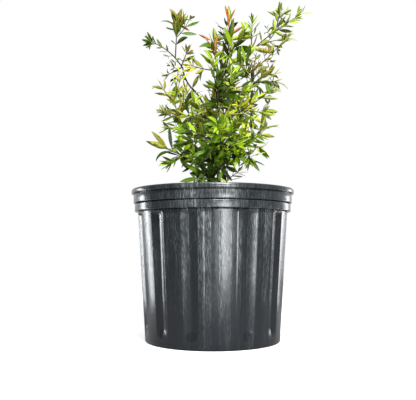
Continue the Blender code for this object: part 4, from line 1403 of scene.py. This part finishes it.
def leaf_mesh(name, rng):
    """A closed blade, with a number on each face that tells its part."""
    rows = len(LEAF_STATIONS) - 1
    faces, parts = [], []
    for row in range(rows - 1):
        low, high = row * 6, (row + 1) * 6
        on_stalk = LEAF_STATIONS[row + 1] <= STALK_UNTIL
        faces += [(low + k, low + k + 1, high + k + 1, high + k) for k in range(4)]
        faces += [(low, high, high + 5, low + 5), (low + 5, high + 5, high + 4, low + 4)]
        parts += [STALK_PART] * 6 if on_stalk else [UPPER_PART] * 4 + [UNDER_PART] * 2
    end, tip = (rows - 1) * 6, rows * 6
    faces += [(end + k, end + k + 1, tip) for k in range(4)]
    faces += [(end, tip, end + 5), (end + 5, tip, end + 4), (0, 5, 4, 3, 2, 1)]
    parts += [UPPER_PART] * 4 + [UNDER_PART] * 2 + [STALK_PART]
    mesh = bpy.data.meshes.new(name)
    mesh.from_pydata([tuple(point) for point in leaf_points(rng)], [], faces)
    mesh.attributes.new("part", "INT", "FACE").data.foreach_set("value", parts)
    mesh.shade_smooth()
    return mesh


leaf_rng = random.Random(LEAF_SEED)
leaf_shapes = shelf(
    "leaf_shapes", [leaf_mesh(f"leaf_{index:02d}", leaf_rng) for index in range(LEAF_SHAPES)])

# %% [markdown]
# ## Dealing out the leaves
#
# The recipe sets one blade on every point, turned and sized as the branching rule says, and
# picks its shape by number. Top, underside and stalk get their own materials, found by the
# number stored on each face. The tints are plain base colours, one piece for each, so that they
# keep their place when exported. Leaves that have only just opened are still narrow.

# %% Tints and spray recipe
# name: (upper side, underside, both as linear red, green and blue, width against a grown leaf's)
TINTS = {
    # deep is partly painted shade for the inner crown; fresh and lime are partly painted light
    "deep": ((0.018, 0.042, 0.001), (0.050, 0.082, 0.006), 1.0),
    "green": ((0.066, 0.138, 0.003), (0.120, 0.185, 0.012), 1.0),
    "fresh": ((0.245, 0.375, 0.011), (0.300, 0.385, 0.036), 1.0),
    "lime": ((0.430, 0.510, 0.050), (0.460, 0.520, 0.092), 1.0),
    "gold": ((0.480, 0.420, 0.022), (0.500, 0.450, 0.080), 1.0),
    "olive": ((0.220, 0.225, 0.012), (0.290, 0.290, 0.045), 0.94),
    "sage": ((0.285, 0.335, 0.090), (0.380, 0.410, 0.150), 0.88),
    "bronze": ((0.210, 0.115, 0.010), (0.290, 0.170, 0.030), 0.88),
    "coral": ((0.350, 0.098, 0.016), (0.420, 0.160, 0.045), 0.70),
    "rose": ((0.390, 0.120, 0.046), (0.480, 0.210, 0.105), 0.76),
}


def leaf_dealing():
    recipe = Recipe(
        "leaf_dealing", Shapes="Collection", Underside="Material", Stalk="Material",
        Material="Material")
    turn = recipe.node("FunctionNodeEulerToRotation", None, {0: recipe.named("turn", "FLOAT_VECTOR")})
    placed = recipe.set_on(
        recipe.given("Geometry"), recipe.named("shape", "INT"), turn,
        recipe.named("size", "FLOAT_VECTOR"))
    part = recipe.named("part", "INT")
    leaf = recipe.node("GeometryNodeRealizeInstances", None, {0: placed})
    leaf = recipe.painted(leaf, "Material")
    leaf = recipe.painted(leaf, "Underside", part.maths("COMPARE", UNDER_PART, 0.1))
    leaf = recipe.painted(leaf, "Stalk", part.maths("COMPARE", STALK_PART, 0.1))
    recipe.tree.links.new(leaf.socket, recipe.exit.inputs[0])
    return recipe


def leaf_finish(name, colour, roughness, coat):
    """One plain colour, with mottled gloss and a fine relief of veins."""
    finish = Finish(
        name, Base_Color=(*colour, 1.0), Coat_Weight=coat, Coat_Roughness=0.25,
        Specular_IOR_Level=0.22)
    mottle = finish.noise(finish.place, 260.0, 3.0, 0.6)
    veins = finish.noise(finish.place, 1500.0, 2.0, 0.5)
    finish.drive("Roughness", roughness + 0.16 * mottle)
    finish.relief(mottle * 0.4 + veins * 0.6, 0.00018)
    return finish.material


DEALING = leaf_dealing()
STALK = stem_finish("leaf_stalk", (0.150, 0.100, 0.030), (0.260, 0.110, 0.050))
print(f"{len(TINTS)} tints")

# %% Deal out the leaves
for tint, (upper, under, width) in TINTS.items():
    own = [leaf for leaf in LEAVES if leaf[2] == tint]
    feet, turns, sizes, picks = [], [], [], []
    for (origin, out, across, face), length, _, pick in own:
        feet.append([origin])
        turns.append(Matrix((-across, out, face)).transposed().to_euler())
        sizes.append((length * width, length, length))
        picks.append(int(pick * LEAF_SHAPES))
    name = f"leaves_{tint}"
    piece = new_item(name, line_mesh(
        name, feet, turn=("FLOAT_VECTOR", turns), size=("FLOAT_VECTOR", sizes), shape=("INT", picks)))
    DEALING.on(
        piece, Shapes=leaf_shapes, Stalk=STALK, Material=leaf_finish(name, upper, 0.36, 0.05),
        Underside=leaf_finish(f"{name}_under", under, 0.55, 0.0))
    make_plain(piece, NO_EDGES)
    keep(piece, "foliage", *FOLIAGE)
clear_shelf(leaf_shapes)
total = sum(triangles_of(item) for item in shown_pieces() if item.type == "MESH")
print(f"{len(LEAVES)} leaves; {total} triangles in all")
